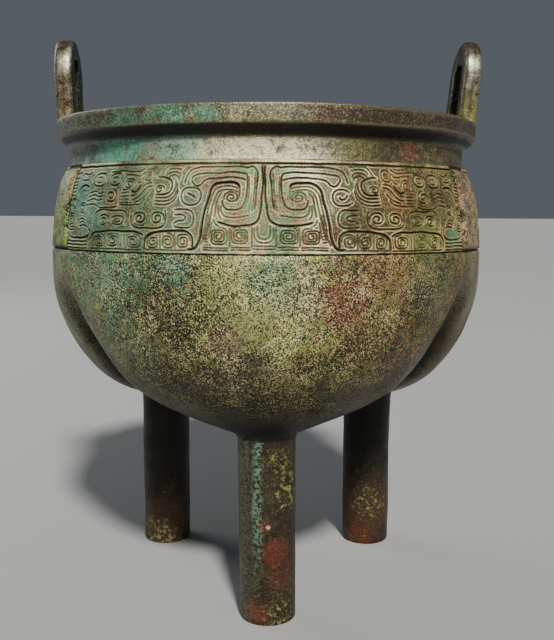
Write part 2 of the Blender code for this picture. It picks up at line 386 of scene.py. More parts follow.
def ray_surface(level, columns, rows):
    """Points where rays from the eye on the axis leave a level, row by row from the band's foot down."""
    turn = np.linspace(0.0, 2.0 * math.pi, columns, endpoint=False)
    start = math.atan2(BAND_FOOT + 0.004 - LOBE_EYE, BAND_RADII[0])
    dip = np.linspace(start, -0.499 * math.pi, rows)
    turn, dip = np.meshgrid(turn, dip)
    aim = np.stack((np.cos(dip) * np.cos(turn), np.cos(dip) * np.sin(turn), np.sin(dip)), axis=2)
    aim = aim.reshape(-1, 3)
    near = np.zeros(len(aim))
    well_outside = 0.2
    halvings = 26
    far = np.full(len(aim), well_outside)
    for _ in range(halvings):
        middle = 0.5 * (near + far)
        within = level(aim * middle[:, None] + (0.0, 0.0, LOBE_EYE)) < 0.0
        near = np.where(within, middle, near)
        far = np.where(within, far, middle)
    return aim * near[:, None] + (0.0, 0.0, LOBE_EYE)


def rough_vessel():
    """The wall between its outer and inner surfaces, and the legs, as overlapping closed shapes."""
    columns = 300
    rows = 110
    outer = ray_surface(lobe_distance, columns, rows)
    inner = ray_surface(inside_distance, columns, rows)
    points = np.concatenate((outer, inner))
    total = columns * rows
    faces = []
    for k in range(rows - 1):
        for i in range(columns):
            a = k * columns + i
            b = k * columns + (i + 1) % columns
            faces.append((a, a + columns, b + columns, b))
            faces.append((total + a, total + b, total + b + columns, total + a + columns))
    for i in range(columns):
        j = (i + 1) % columns
        faces.append((i, j, total + j, total + i))
    last = (rows - 1) * columns
    faces.append(tuple(range(last + columns - 1, last - 1, -1)))
    faces.append(tuple(range(total + last, total + last + columns)))
    mesh = bpy.data.meshes.new("bowl_and_legs")
    mesh.from_pydata(points, [], faces)
    shape = bmesh.new()
    shape.from_mesh(mesh)
    for azimuth, lean in zip(LEG_AZIMUTHS, LEG_LEANS):
        leg = bmesh.ops.create_cone(
            shape, cap_ends=True, segments=64, radius1=LEG_RADII[0], radius2=LEG_RADII[1], depth=LEG_TOP)
        for vert in leg["verts"]:
            vert.co.x += LEG_CIRCLE * math.cos(azimuth) + lean * (0.5 * LEG_TOP - vert.co.z)
            vert.co.y += LEG_CIRCLE * math.sin(azimuth)
            vert.co.z += 0.5 * LEG_TOP
    bmesh.ops.recalc_face_normals(shape, faces=shape.faces)
    shape.to_mesh(mesh)
    shape.free()
    return mesh


def remake_evenly(piece, cell):
    """Turns a piece's overlapping closed shapes into one skin of even cells."""
    even = piece.modifiers.new("even_cells", "REMESH")
    even.mode = "VOXEL"
    even.voxel_size = cell
    evaluated = piece.evaluated_get(bpy.context.evaluated_depsgraph_get())
    mesh = bpy.data.meshes.new_from_object(evaluated)
    piece.modifiers.clear()
    piece.data = mesh
    return mesh


def bowl_push(points, sizes):
    """How far the cast and corroded surface stands off the true one: slow wander, and pits in places."""
    wander = sizes.unevenness * (cloud(points, 0.034) + 0.45 * cloud(points, 0.011, seed=7.0))
    pits = np.clip(cloud(points, 0.0046, seed=31.0) - 0.28, 0.0, 0.5) * 2.0
    scoured = np.clip(cloud(points, 0.030, seed=53.0) + 0.35, 0.0, 1.0)
    push = wander - BOWL_INSET - sizes.pit_depth * pits * scoured
    near_band = np.clip((BAND_FOOT - points[:, 2]) / 0.004, 0.0, 1.0)
    near_foot = np.clip(points[:, 2] / 0.003, 0.0, 1.0)
    return push * (near_band * near_foot)


def build_bowl():
    """The lobed bowl and its legs as one closed mesh, from the feet to the foot of the band."""
    sizes = bpy.context.scene.ding_sizes
    piece = add_object("bowl_and_legs", rough_vessel())
    mesh = remake_evenly(piece, sizes.bowl_cell)
    cut_below(mesh, BAND_FOOT, fill=False)

    points = mesh_points(mesh)
    flat = points[:, 2] > BAND_FOOT - 1e-5
    inner = np.abs(inside_distance(points)) < np.abs(vessel_distance(points))
    points[~inner] = pull_to(points[~inner], vessel_distance, flat[~inner])
    points[inner] = pull_to(points[inner], inside_distance, flat[inner])

    _, normal = slopes(vessel_distance, points)
    normal /= np.maximum(np.linalg.norm(normal, axis=1), 1e-9)[:, None]
    push = bowl_push(points, sizes)
    groove = BAND_GROOVE_DEPTH * np.exp(-((points[:, 2] - BAND_FOOT) / BAND_GROOVE_WIDTH) ** 2)
    points += normal * np.where(inner, 0.5 * push, push - groove)[:, None]
    points[flat, 2] = BAND_FOOT
    points[:, 2] = np.maximum(points[:, 2], 0.0)
    set_mesh_points(mesh, points)
    cut_below(mesh, BAND_FOOT + 0.001, fill=True)
    point_value(mesh, "relief", np.where(inner, 0.4, 1.0))
    shade(mesh, 50.0)
    return piece


def rounded(corners, step):
    """A profile through corners of (radius, height, rounding), with arcs drawn at the rounded ones.

    The second list marks how near each point is to a rounded edge.
    """
    places = []
    edge = []
    count = len(corners)
    for i, (r, z, rounding) in enumerate(corners):
        here = np.array((r, z))
        if rounding <= 0.0:
            places.append(here)
            edge.append(0.0)
            continue
        before = np.array(corners[i - 1][:2])
        after = np.array(corners[(i + 1) % count][:2])
        back = (before - here) / np.linalg.norm(before - here)
        ahead = (after - here) / np.linalg.norm(after - here)
        for k in range(7):
            t = k / 6.0
            places.append(here + rounding * ((1 - t) ** 2 * back + t * t * ahead))
            edge.append(1.0)
    fine = []
    marks = []
    for i, place in enumerate(places):
        after = places[(i + 1) % len(places)]
        pieces = max(1, int(np.ceil(np.linalg.norm(after - place) / step)))
        for k in range(pieces):
            t = k / pieces
            fine.append(place + (after - place) * t)
            marks.append(max(edge[i] * (1 - 4 * t), edge[(i + 1) % len(places)] * (4 * t - 3), 0.0))
    return np.array(fine), np.array(marks)


def turned_mesh(name, profile, columns):
    """A closed profile, given up its outer side and down its inner one, turned about the axis."""
    rows = len(profile)
    turn = np.linspace(0.0, 2.0 * math.pi, columns, endpoint=False)
    radius = profile[None, :, 0]
    points = np.stack((
        radius * np.cos(turn)[:, None],
        radius * np.sin(turn)[:, None],
        np.broadcast_to(profile[None, :, 1], (columns, rows)),
    ), axis=2).reshape(-1, 3)
    i, k = np.meshgrid(np.arange(columns), np.arange(rows), indexing="ij")
    across = (i + 1) % columns
    up = (k + 1) % rows
    quads = np.stack((i * rows + k, across * rows + k, across * rows + up, i * rows + up), axis=2)
    mesh = bpy.data.meshes.new(name)
    mesh.from_pydata(points, [], quads.reshape(-1, 4).tolist())
    return mesh, points


def lip_profile():
    """The ring's outline, up outside and down inside, and how near each point is to an edge."""
    behind_frieze = 0.0016
    corners = [
        (BAND_CURVE(z) - behind_frieze, z, 0.0) for z in np.linspace(BAND_FOOT, BAND_TOP - 0.0006, 12)]
    corners += [
        (NECK_RADIUS + 0.0008, BAND_TOP - 0.0004, 0.0),
        (NECK_RADIUS + 0.0001, BAND_TOP + 0.0012, 0.0),
        (NECK_RADIUS - 0.0004, BAND_TOP + 0.0036, 0.0),
        (NECK_RADIUS, LIP_SLOPE_FOOT - 0.0008, 0.0006),
        (LIP_RADIUS - 0.0003, LIP_FACE_FOOT, 0.0008),
        (LIP_RADIUS, LIP_TOP, 0.0011),
        (LIP_INNER_RADIUS, LIP_TOP, 0.0010),
        (LIP_INNER_RADIUS + 0.0001, LIP_FACE_FOOT, 0.0012),
        (NECK_RADIUS - WALL, LIP_SLOPE_FOOT - 0.0018, 0.0010),
        (NECK_RADIUS - WALL, BAND_TOP + 0.0010, 0.0),
    ]
    corners += [(BAND_CURVE(z) - WALL, z, 0.0) for z in np.linspace(BAND_TOP, BAND_FOOT, 12)]
    return rounded(corners, 0.0009)


def build_lip():
    """The lip, the neck and the wall behind the band, as one turned ring with a hand-made surface."""
    sizes = bpy.context.scene.ding_sizes
    profile, edge = lip_profile()
    mesh, points = turned_mesh("lip_and_neck", profile, sizes.lip_columns)
    edge = np.tile(edge, sizes.lip_columns)
    reach = np.hypot(points[:, 0], points[:, 1])
    outward = points * (1, 1, 0) / reach[:, None]
    mid_reach = 0.5 * (LIP_INNER_RADIUS + LIP_RADIUS)
    facing = np.where(reach > mid_reach, 1.0, -1.0)
    on_face = np.clip((points[:, 2] - LIP_SLOPE_FOOT) / 0.002, 0.0, 1.0)
    off_band = np.clip((points[:, 2] - BAND_TOP) / 0.002, 0.0, 1.0)

    fine_wander = 0.0001
    nick_depth = 0.0016
    sag_depth = 0.0005
    edge_wave = 0.0006
    wander = 0.8 * sizes.unevenness * cloud(points, 0.030, seed=3.0)
    wander += fine_wander * cloud(points, 0.006, seed=11.0)
    nicks = np.clip(cloud(points, 0.0052, seed=19.0) - 0.42, 0.0, 0.5) * edge
    push = np.minimum(wander - 0.0002, 0.0) * on_face + wander * (1.0 - on_face)
    push = (push - nick_depth * nicks) * off_band
    points += outward * (push * facing)[:, None]
    sag = np.minimum(sag_depth * cloud(points * (1, 1, 0), 0.050, seed=5.0) - 0.0001, 0.0)
    points[:, 2] += sag * on_face
    low_edge = np.exp(-((points[:, 2] - LIP_FACE_FOOT) / 0.0026) ** 2) * (reach > mid_reach - 0.004)
    points[:, 2] += edge_wave * cloud(points * (1, 1, 0), 0.026, seed=29.0) * low_edge
    set_mesh_points(mesh, points)
    point_value(mesh, "relief", np.clip(0.55 + 0.45 * edge, 0.0, 1.0))
    shade(mesh, 50.0)
    return add_object("lip_and_neck", mesh)


def build_handle(side):
    """A cast loop: sections between its inner and outer outlines, swept from one foot over to the other."""
    azimuth, lean, top = HANDLES[side]
    half = 0.5 * HANDLE_WIDTH
    slot_half = 0.5 * SLOT_WIDTH
    rise = top - LIP_TOP + HANDLE_ROOT
    spring = rise - HANDLE_ARCH_RISE
    slot_spring = SLOT_TOP - LIP_TOP + HANDLE_ROOT - slot_half
    stations = []
    foot_rows = 22
    for i in range(foot_rows):
        t = i / foot_rows
        stations.append(((-slot_half, slot_spring * t), (-half, spring * t)))
    arch_rows = 52
    for i in range(arch_rows + 1):
        turn = math.pi * (1.0 - i / arch_rows)
        stations.append((
            (slot_half * math.cos(turn), slot_spring + slot_half * math.sin(turn)),
            (half * math.cos(turn), spring + HANDLE_ARCH_RISE * math.sin(turn)),
        ))
    for i in range(foot_rows - 1, -1, -1):
        t = i / foot_rows
        stations.append(((slot_half, slot_spring * t), (half, spring * t)))

    around = 44
    turn = np.linspace(0.0, 2.0 * math.pi, around, endpoint=False)
    squareness = 0.5
    across = np.sign(np.cos(turn)) * np.abs(np.cos(turn)) ** squareness
    deep = np.sign(np.sin(turn)) * np.abs(np.sin(turn)) ** squareness
    rounding = np.minimum(np.abs(across), np.abs(deep))
    half_thickness = 0.5 * HANDLE_THICKNESS
    foot_flare = 0.0011
    foot_flare_height = 0.0016
    rows = []
    for inner, outer in stations:
        inner = np.array(inner)
        outer = np.array(outer)
        middle = 0.5 * (inner + outer)
        arm = 0.5 * (outer - inner)
        above_lip = max(middle[1] - HANDLE_ROOT, 0.0)
        flare = foot_flare * math.exp(-above_lip / foot_flare_height)
        grow = 1.0 + flare / np.linalg.norm(arm)
        place = middle + np.outer(across * grow, arm)
        rows.append(np.stack((place[:, 0], deep * half_thickness, place[:, 1]), axis=1))
    points = np.concatenate(rows)
    foot_radius = LIP_RADIUS - half_thickness - HANDLE_INSET
    upright = np.array((0.0, 0.0, 1.0))
    out = np.array((math.cos(azimuth), math.sin(azimuth), 0.0))
    along = np.array((-math.sin(azimuth), math.cos(azimuth), 0.0))
    hinge = foot_radius * out + (LIP_TOP - HANDLE_ROOT) * upright
    up = upright * math.cos(lean) + out * math.sin(lean)
    out_leant = out * math.cos(lean) - upright * math.sin(lean)
    wander = 0.00022 * cloud(points, 0.012, seed=23.0 + azimuth) - 0.00015
    points[:, 1] *= (half_thickness - 0.0002 + wander) / half_thickness
    points[:, 2] += np.where(points[:, 2] > SLOT_TOP - LIP_TOP, wander, 0.0)
    world = hinge + points[:, :1] * along + points[:, 1:2] * out_leant + points[:, 2:3] * up

    count = len(stations)
    faces = []
    for i in range(count - 1):
        for k in range(around):
            n = (k + 1) % around
            faces.append((i * around + k, i * around + n, (i + 1) * around + n, (i + 1) * around + k))
    faces.append(tuple(range(around - 1, -1, -1)))
    faces.append(tuple(range((count - 1) * around, count * around)))
    mesh = bpy.data.meshes.new("handle_" + side)
    mesh.from_pydata(world, [], faces)
    fix = bmesh.new()
    fix.from_mesh(mesh)
    bmesh.ops.recalc_face_normals(fix, faces=fix.faces)
    fix.to_mesh(mesh)
    fix.free()
    point_value(mesh, "relief", np.tile(np.clip(0.5 + 0.7 * (rounding - 0.4), 0.0, 1.0), count))
    point_value(mesh, "outer_edge", np.tile(np.clip((across - 0.66) / 0.26, 0.0, 1.0), count))
    shade(mesh, 60.0)
    return add_object("handle_" + side, mesh)


def through(points):
    """A smooth line through the points, in even short steps."""
    step = 0.3
    p = np.array(points, float)
    p = np.vstack((2 * p[0] - p[1], p, 2 * p[-1] - p[-2]))
    out = []
    for i in range(1, len(p) - 2):
        a, b, c, d = p[i - 1:i + 3]
        reach = np.linalg.norm(c - b)
        pieces = max(2, int(np.ceil(reach / step)))
        before = max(np.linalg.norm(b - a), 1e-6)
        after = max(np.linalg.norm(d - c), 1e-6)
        start = reach * ((b - a) / before + (c - b) / reach) * 0.5
        end = reach * ((c - b) / reach + (d - c) / after) * 0.5
        t = np.linspace(0.0, 1.0, pieces, endpoint=False)[:, None]
        out.append(b * (1 + 2 * t) * (1 - t) ** 2 + start * t * (1 - t) ** 2
                   + c * t * t * (3 - 2 * t) - end * t * t * (1 - t))
    return np.vstack(out + [p[-2:-1]])


def line(points, width=0.55, depth=1.0):
    """One groove: its smooth line, its width, and its depth as a share of the ordinary one."""
    return through(points), width, depth


def rounded_box(across, up, wide, high, turn, square):
    """Points at each turn on a rounded box; wide and high may change along the line."""
    c = np.cos(turn)
    s = np.sin(turn)
    return np.stack((
        across + 0.5 * wide * np.sign(c) * np.abs(c) ** square,
        up + 0.5 * high * np.sign(s) * np.abs(s) ** square,
    ), axis=1)


def spiral(across, up, wide, high, pitch=1.2, start=0.0, hand=1, square=0.6, width=0.5, depth=0.9,
           core=0.5):
    """A groove that winds in from a rounded box of the given size to its middle."""
    outer = 0.25 * (wide + high)
    turns = max((outer - core) / pitch, 0.4)
    t = np.linspace(0.0, 1.0, int(40 * turns) + 8)
    turn = start + hand * 2.0 * math.pi * turns * t
    size = 1.0 - t * (outer - core) / outer
    return rounded_box(across, up, wide * size, high * size, turn, square), width, depth


def loop(across, up, wide, high, width=0.55, depth=1.0):
    """A closed groove round a boss."""
    turn = np.linspace(0.0, 2.0 * math.pi, 49)
    return rounded_box(across, up, wide, high, turn, 0.8), width, depth


def ruled(left, right, heights, width=0.45, depth=0.8, bow=0.0):
    """Parallel grooves, level or bowed a little upward in the middle."""
    middle = 0.5 * (left + right)
    return [line([(left, v), (middle, v + bow), (right, v)], width, depth) for v in heights]


def mask_face():
    """The middle of the mask, right of its nose: brow band, rolled horn, eye scroll and jaw."""
    cuts = [
        line([(0.5, 34.6), (0.42, 27), (0.9, 20.5), (1.5, 15.8), (2.4, 13.3), (4.5, 11.9), (7, 11.4),
              (10, 11.2), (14, 11.5), (18.5, 12.7)], 0.75, 1.15),
        line([(3.9, 17.3), (3.3, 21), (2.9, 26), (2.8, 32.0), (3.9, 33.4), (5.3, 33.9), (6.8, 33.5),
              (9, 33.8), (15, 33.7), (22, 33.7), (29.0, 33.2), (31.3, 32.5), (32.5, 31.0),
              (33.4, 27.6)], 0.6, 1.0),
        line([(3.7, 32.0), (3.7, 26), (4.2, 20), (4.9, 16.6)], 0.4, 0.7),
        line([(30.5, 28.9), (30.2, 29.9), (29, 30.6), (26, 31.0), (20, 31.3), (10, 31.5), (7.4, 30.8),
              (6.8, 29), (6.9, 24), (7.6, 20.5), (8.5, 18.6), (9.7, 17.7), (11, 17.3), (13, 17.2),
              (15, 17.5), (16.3, 18.6), (17, 20.8)], 0.6, 1.0),
        line([(6.1, 30.0), (6.1, 23.8), (6.8, 20.2), (8.0, 17.7)], 0.4, 0.7),
        line([(7.2, 28.3), (8.5, 29), (10, 29.3), (13, 29.6), (20, 29.3), (23, 28.9), (25, 28.1),
              (26.1, 26.9), (27.2, 26.4), (28.6, 26.6), (29.6, 27.5), (30.5, 28.9)], 0.6, 1.0),
        line([(10, 25.7), (10.5, 26.8), (12, 27.4), (15, 27.6), (19, 27.3), (20.6, 26.5), (21.8, 25.1),
              (22.5, 23.2), (23.3, 19.8), (24.1, 16.2), (24.9, 12), (25.6, 8), (26.2, 5.4), (27.2, 3.2),
              (28.4, 2.3), (31, 2.0)], 0.95, 1.35),
        line([(10.2, 25.1), (12, 25.9), (17.5, 26.0), (19.6, 25.2), (21, 23.4), (21.9, 20.5), (22.6, 16.5),
              (23.3, 12.5), (24, 8.5), (24.6, 5.8), (25.5, 3.8)], 0.45, 0.8),
        line([(10.2, 23.9), (12, 24.6), (16.6, 24.8), (18.7, 24.0), (19.9, 22.0), (20.7, 19.0), (21.3, 15.5),
              (22.0, 12.0), (22.5, 9.5)], 0.45, 0.8),
        line([(17.4, 23.6), (18.5, 22.3), (19.2, 20), (19.6, 17), (19.9, 14.6)], 0.45, 0.8),
        line([(10.0, 26.4), (9.9, 24.0), (10.2, 22.0), (11.2, 20.6)], 0.5, 0.9),
        spiral(13.2, 22.0, 6.2, 4.6, 1.15, math.radians(-20), 1, 0.85, 0.5, 0.95),
        line([(6.0, 15.2), (8, 14.9), (12, 14.3), (15, 14.6), (16.5, 15.5), (17.3, 17), (17.5, 18.6)],
             0.5, 0.8),
        line([(18.3, 19.0), (18.4, 16.8), (18.2, 15.2), (17.2, 13.8)], 0.45, 0.7),
        line([(20.3, 13.6), (19.6, 11.9), (18.2, 11.1)], 0.45, 0.7),
    ]
    cuts += [
        spiral(9.4, 7.3, 7.6, 6.4, 1.0, math.radians(90), -1, 0.5),
        spiral(18.1, 7.1, 7.4, 6.6, 1.0, math.radians(90), 1, 0.5),
        line([(5.2, 10.9), (9, 11.0), (13.2, 10.6)], 0.4, 0.7),
        line([(21.9, 15.4), (22.5, 11.8), (23.2, 8.2), (24.2, 5.4)], 0.4, 0.8),
        line([(20.9, 12.6), (21.4, 9.6), (22.0, 6.6)], 0.4, 0.7),
        line([(4.7, 10.8), (4.6, 7), (4.7, 3)], 0.45, 0.7),
        line([(13.5, 10.4), (13.6, 7), (13.5, 3.2)], 0.45, 0.7),
        line([(2.4, 11.2), (2.5, 8.6), (1.7, 6.7), (0, 6.1)], 0.5, 0.8),
        line([(3.6, 10.6), (3.7, 7.2), (2.5, 5.3), (0, 4.8)], 0.45, 0.8),
    ]
    cuts += ruled(0.0, 4.4, (3.6, 2.4))
    cuts += ruled(5.2, 13.0, (3.0, 2.0))
    cuts += ruled(14.2, 24.4, (2.9, 1.9))
    cuts += ruled(22.4, 24.0, (9.8, 8.6, 7.4, 6.2, 5.0))
    return cuts


def mask_ear(mirrored):
    """Between jaw and beast: a curl or leaf, a forked hook and a row of thunder squares."""
    if mirrored:
        cuts = [loop(30.2, 22.5, 8.2, 6.8), line([(28.2, 22.0), (30, 22.9), (31.8, 23.5)], 0.6, 1.1)]
    else:
        cuts = [
            line([(33.8, 24.3), (32, 25.1), (28.6, 25), (26.8, 23.4), (26.7, 21.2), (27.7, 19.7),
                  (29.5, 19.1), (33, 19.2), (34.9, 20.2)]),
            line([(32.9, 23.0), (31.8, 21.6), (30.4, 21.2), (29.3, 22.1)], 0.6, 1.0),
        ]
    cuts += [
        line([(37.2, 17.3), (34, 17.4), (30.5, 17.1), (29, 15.8), (28.6, 13.8), (29.0, 11.8), (30.5, 10.6),
              (34, 10.4), (37.0, 10.8)]),
        line([(36.9, 15.3), (33.6, 15.2), (32.0, 14.3), (33, 13.2), (35.4, 12.9), (37.3, 11.9)], 0.55, 0.9),
        line([(28.9, 2.4), (28.9, 5), (29.4, 7.4), (31, 8.7), (34, 9.2), (40, 9.0), (45, 8.5), (48.6, 7.7),
              (50.4, 6.0), (50.9, 3.6), (51.0, 1.6)], 0.85, 1.25),
        spiral(32.9, 5.1, 6.0, 6.0, 1.15, math.radians(180), -1),
        spiral(39.8, 5.0, 6.0, 6.0, 1.15, math.radians(90), 1),
        spiral(46.6, 4.7, 5.8, 5.6, 1.15, math.radians(90), -1),
        line([(36.4, 8.2), (36.4, 2)], 0.45, 0.7),
        line([(43.3, 8.0), (43.2, 2)], 0.45, 0.7),
        line([(35.0, 34.1), (39, 34.4), (42.3, 34.1), (43.8, 32.8), (45.1, 30.6)], 0.5, 0.9),
        line([(35.6, 32.8), (39, 33.1), (41.6, 32.8), (42.9, 31.5)], 0.5, 0.8),
        line([(42.4, 30.6), (40.6, 31.5), (38.2, 31.7), (36.6, 31.4), (35.7, 30.2)], 0.5, 0.8),
        line([(35.9, 28.8), (37.2, 30.2), (39.2, 30.5), (41.0, 29.9)], 0.5, 0.8),
    ]
    cuts += ruled(31.0, 50.0, (1.7,))
    return cuts


def beast():
    """The profile beast beside the mask: beak, ring eye, paired scrolls and nested lines."""
    cuts = [
        line([(46.6, 30.1), (43, 29.8), (40.2, 28.6), (39.2, 26.4), (40.1, 24.2), (42, 23.2), (46.3, 23.2)],
             0.6, 1.1),
        spiral(44.9, 25.2, 4.6, 3.4, 1.1, math.radians(180), -1, 0.9),
        line([(37.8, 28.6), (37.6, 26.0), (38.5, 23.6), (40.6, 22.1), (46.6, 21.9)], 0.5, 0.9),
        line([(36.8, 27.4), (36.6, 24.8), (38.0, 22.2), (40.4, 20.8), (46.9, 20.6)], 0.5, 0.9),
        line([(36.0, 24.6), (37.4, 21.2), (40.2, 19.5), (43, 19.2), (47.0, 19.3)], 0.5, 0.9),
        spiral(45.1, 14.0, 6.8, 5.4, 1.45, math.radians(200), -1, 0.85, 0.6, 1.0),
        spiral(53.6, 13.9, 6.8, 5.2, 1.45, math.radians(-20), 1, 0.85, 0.6, 1.0),
        line([(41.2, 17.0), (40.9, 13.6), (42.0, 11.1), (44.5, 10.2), (50, 10.1), (55.2, 10.3), (57.6, 11.6),
              (58.2, 13.8), (57.8, 16.6)], 0.6, 1.0),
        loop(51.3, 30.9, 4.4, 4.6, 0.5, 0.9),
        line([(49.2, 27.6), (51.2, 27.4), (53.2, 26.6), (55.6, 24.3), (57.6, 22.9), (59.4, 22.7)], 0.5, 0.9),
        line([(48.7, 26.2), (50.8, 26.0), (52.6, 24.9), (55.0, 22.6), (57.2, 21.4), (59.0, 21.2)], 0.5, 0.9),
        line([(50.4, 24.0), (52.0, 22.4), (54.2, 21.0), (57.2, 20.0)], 0.5, 0.9),
        line([(51.6, 21.4), (54, 19.5), (58.4, 19.0), (64.8, 19.1)], 0.5, 0.9),
        line([(54.6, 26.9), (56.4, 24.9), (58.2, 24.1), (59.8, 24.6)], 0.95, 1.25),
        spiral(61.1, 27.3, 6.0, 4.8, 1.2, math.radians(200), -1, 0.9),
        line([(54.4, 33.6), (56.6, 32.4), (60, 32.3), (66, 32.6), (72.6, 32.4)], 0.5, 0.9),
        line([(54.2, 31.8), (55.6, 30.6), (57.6, 30.6), (60.2, 31.0), (64.6, 31.0)], 0.5, 0.8),
        line([(53.9, 29.6), (55.2, 28.2), (56.6, 27.8)], 0.5, 0.8),
        line([(65.2, 30.4), (65.5, 25), (65.3, 19.8)], 0.5, 0.9),
        loop(69.1, 29.4, 6.0, 5.0, 0.65, 1.1),
        loop(78.3, 29.4, 7.6, 5.2, 0.65, 1.1),
        spiral(70.2, 22.6, 7.0, 5.6, 1.5, math.radians(90), 1, 0.9, 0.6, 1.0),
        line([(74.4, 24.6), (77, 23.7), (79.5, 24.6), (83.4, 24.0)], 0.5, 0.8),
        line([(74.6, 23.1), (77, 22.3), (80, 23.1), (84.0, 22.3)], 0.5, 0.8),
        line([(74.8, 21.6), (77.4, 20.9), (80.4, 21.5), (84.4, 20.7)], 0.5, 0.8),
        line([(66.2, 18.7), (70, 18.0), (76, 18.2), (79, 19.4), (84.6, 19.1)], 0.5, 0.9),
        line([(61, 11.4), (60.4, 13.8), (61.4, 16.2), (64, 17.0), (70, 16.9), (75.6, 17.0), (78.4, 15.2),
              (79.2, 12.2), (78.6, 9.6)], 0.6, 1.0),
        loop(65.3, 13.1, 6.2, 3.6, 0.55, 0.9),
        line([(63.6, 12.9), (65.3, 12.4), (67.0, 12.9)], 0.5, 0.9),
        spiral(73.1, 12.9, 6.8, 5.2, 1.4, math.radians(180), -1, 0.85, 0.6, 1.0),
        line([(51.8, 7.4), (56, 8.7), (62, 8.6), (68, 8.9), (73, 8.4), (78.8, 7.6), (80.6, 5.4),
              (80.9, 2.4)], 0.8, 1.2),
        spiral(56.6, 4.8, 7.6, 5.6, 1.15, math.radians(90), 1),
        line([(61.2, 7.4), (61.4, 2)], 0.45, 0.7),
        line([(63.0, 7.4), (62.8, 4.5), (63.2, 2)], 0.45, 0.7),
    ]
    cuts += ruled(60.4, 64.6, (25.1, 23.9, 22.6, 21.3, 20.1))
    cuts += [
        spiral(67.2, 4.9, 6.2, 5.6, 1.1, math.radians(90), -1),
        spiral(75.2, 4.7, 6.6, 5.4, 1.1, math.radians(90), 1),
        line([(71.2, 7.6), (71.2, 2)], 0.45, 0.7),
        loop(69.1, 29.3, 2.6, 2.0, 0.45, 0.8),
        loop(78.3, 29.3, 3.6, 2.2, 0.45, 0.8),
    ]
    cuts += ruled(52.0, 80.0, (1.5,))
    return cuts


def panel_end():
    """The panel's last column: a hook, an almond eye, nested lines and a plain cupped base."""
    cuts = [
        line([(85.2, 32.9), (88, 31.8), (91.6, 32.4), (92.6, 30.6), (90.6, 29.4), (86.4, 29.6)], 0.55, 1.0),
        line([(84.6, 26.6), (87.4, 27.2), (90.4, 26.8), (92.4, 25.2), (94.0, 22.4), (96.2, 21.2)], 0.8, 1.2),
        line([(85.6, 24.4), (88.2, 25.2), (90.0, 23.8), (91.4, 21.6), (93.2, 20.2)], 0.5, 0.9),
        line([(81.4, 8.0), (82.4, 9.8), (85, 10.9), (88.4, 10.4)], 0.6, 1.0),
        line([(81.2, 9.6), (81.4, 7.2), (83.6, 5.9), (90, 5.5), (96, 6.3), (98.6, 9), (99.2, 13)], 0.7, 1.1),
        line([(94.0, 32.8), (98.6, 32.2)], 0.5, 0.8),
    ]
    cuts += ruled(94.4, 98.9, (30.6, 29.2, 27.8, 26.4, 24.9, 23.4), bow=-0.3)
    cuts += [
        spiral(95.2, 12.6, 8.2, 8.8, 1.15, math.radians(90), 1, 0.8, 0.5, 1.0, 0.7),
        spiral(95.6, 20.0, 6.8, 4.6, 1.1, math.radians(-90), -1, 0.8, 0.5, 0.9, 0.6),
        spiral(87.4, 17.6, 5.8, 5.2, 1.1, math.radians(180), -1, 0.8, 0.5, 0.9, 0.6),
        line([(84.4, 12.9), (86.6, 13.6), (89.0, 12.8), (89.9, 10.8)], 0.5, 0.9),
        line([(84.0, 11.6), (86.4, 12.3), (88.4, 11.6)], 0.5, 0.9),
    ]
    cuts += ruled(82.4, 99.2, (4.1, 2.7, 1.3), 0.5, 0.9)
    return cuts


def panel_cuts(half_width):
    """Every groove of one panel, in millimetres, drawn right of its middle and mirrored to its left."""
    cuts = []
    for mirrored in (False, True):
        for points, width, depth in mask_face() + mask_ear(mirrored) + beast() + panel_end():
            moved = points.copy()
            moved[:, 0] *= half_width / DRAWN_HALF
            if mirrored:
                outer = np.clip((points[:, 0] - STRETCH_START) / (DRAWN_HALF - STRETCH_START), 0.0, 1.0)
                moved[:, 0] *= -LEFT_SHARE * (1.0 + (1.0 / LEFT_SHARE - 1.0) * outer)
            cuts.append((moved, width, depth))
    return cuts


def border_cuts(half_width):
    """The long grooves under and over a panel's pattern."""
    past_end = 2.0
    across = np.linspace(-half_width - past_end, half_width + past_end, int(2 * half_width))
    cuts = []
    for height, width, depth in ((0.05, 1.1, 1.2), (35.1, 0.75, 1.15), (37.1, 0.7, 0.7)):
        cuts.append((np.column_stack((across, np.full(len(across), height))), width, depth))
    return cuts


def strayed(cuts, stray, seed):
    """The grooves as a hand cuts them, each point off its place and each width a little off."""
    moved = []
    for points, width, depth in cuts:
        flat = np.column_stack((points, np.zeros(len(points))))
        away = np.column_stack((cloud(flat, 5.0, seed), cloud(flat, 5.0, seed + 40.0)))
        share = 1.0 + 0.25 * cloud(flat, 7.0, seed + 80.0)
        moved.append((points + stray * away, width * float(np.mean(share)), depth))
    return moved


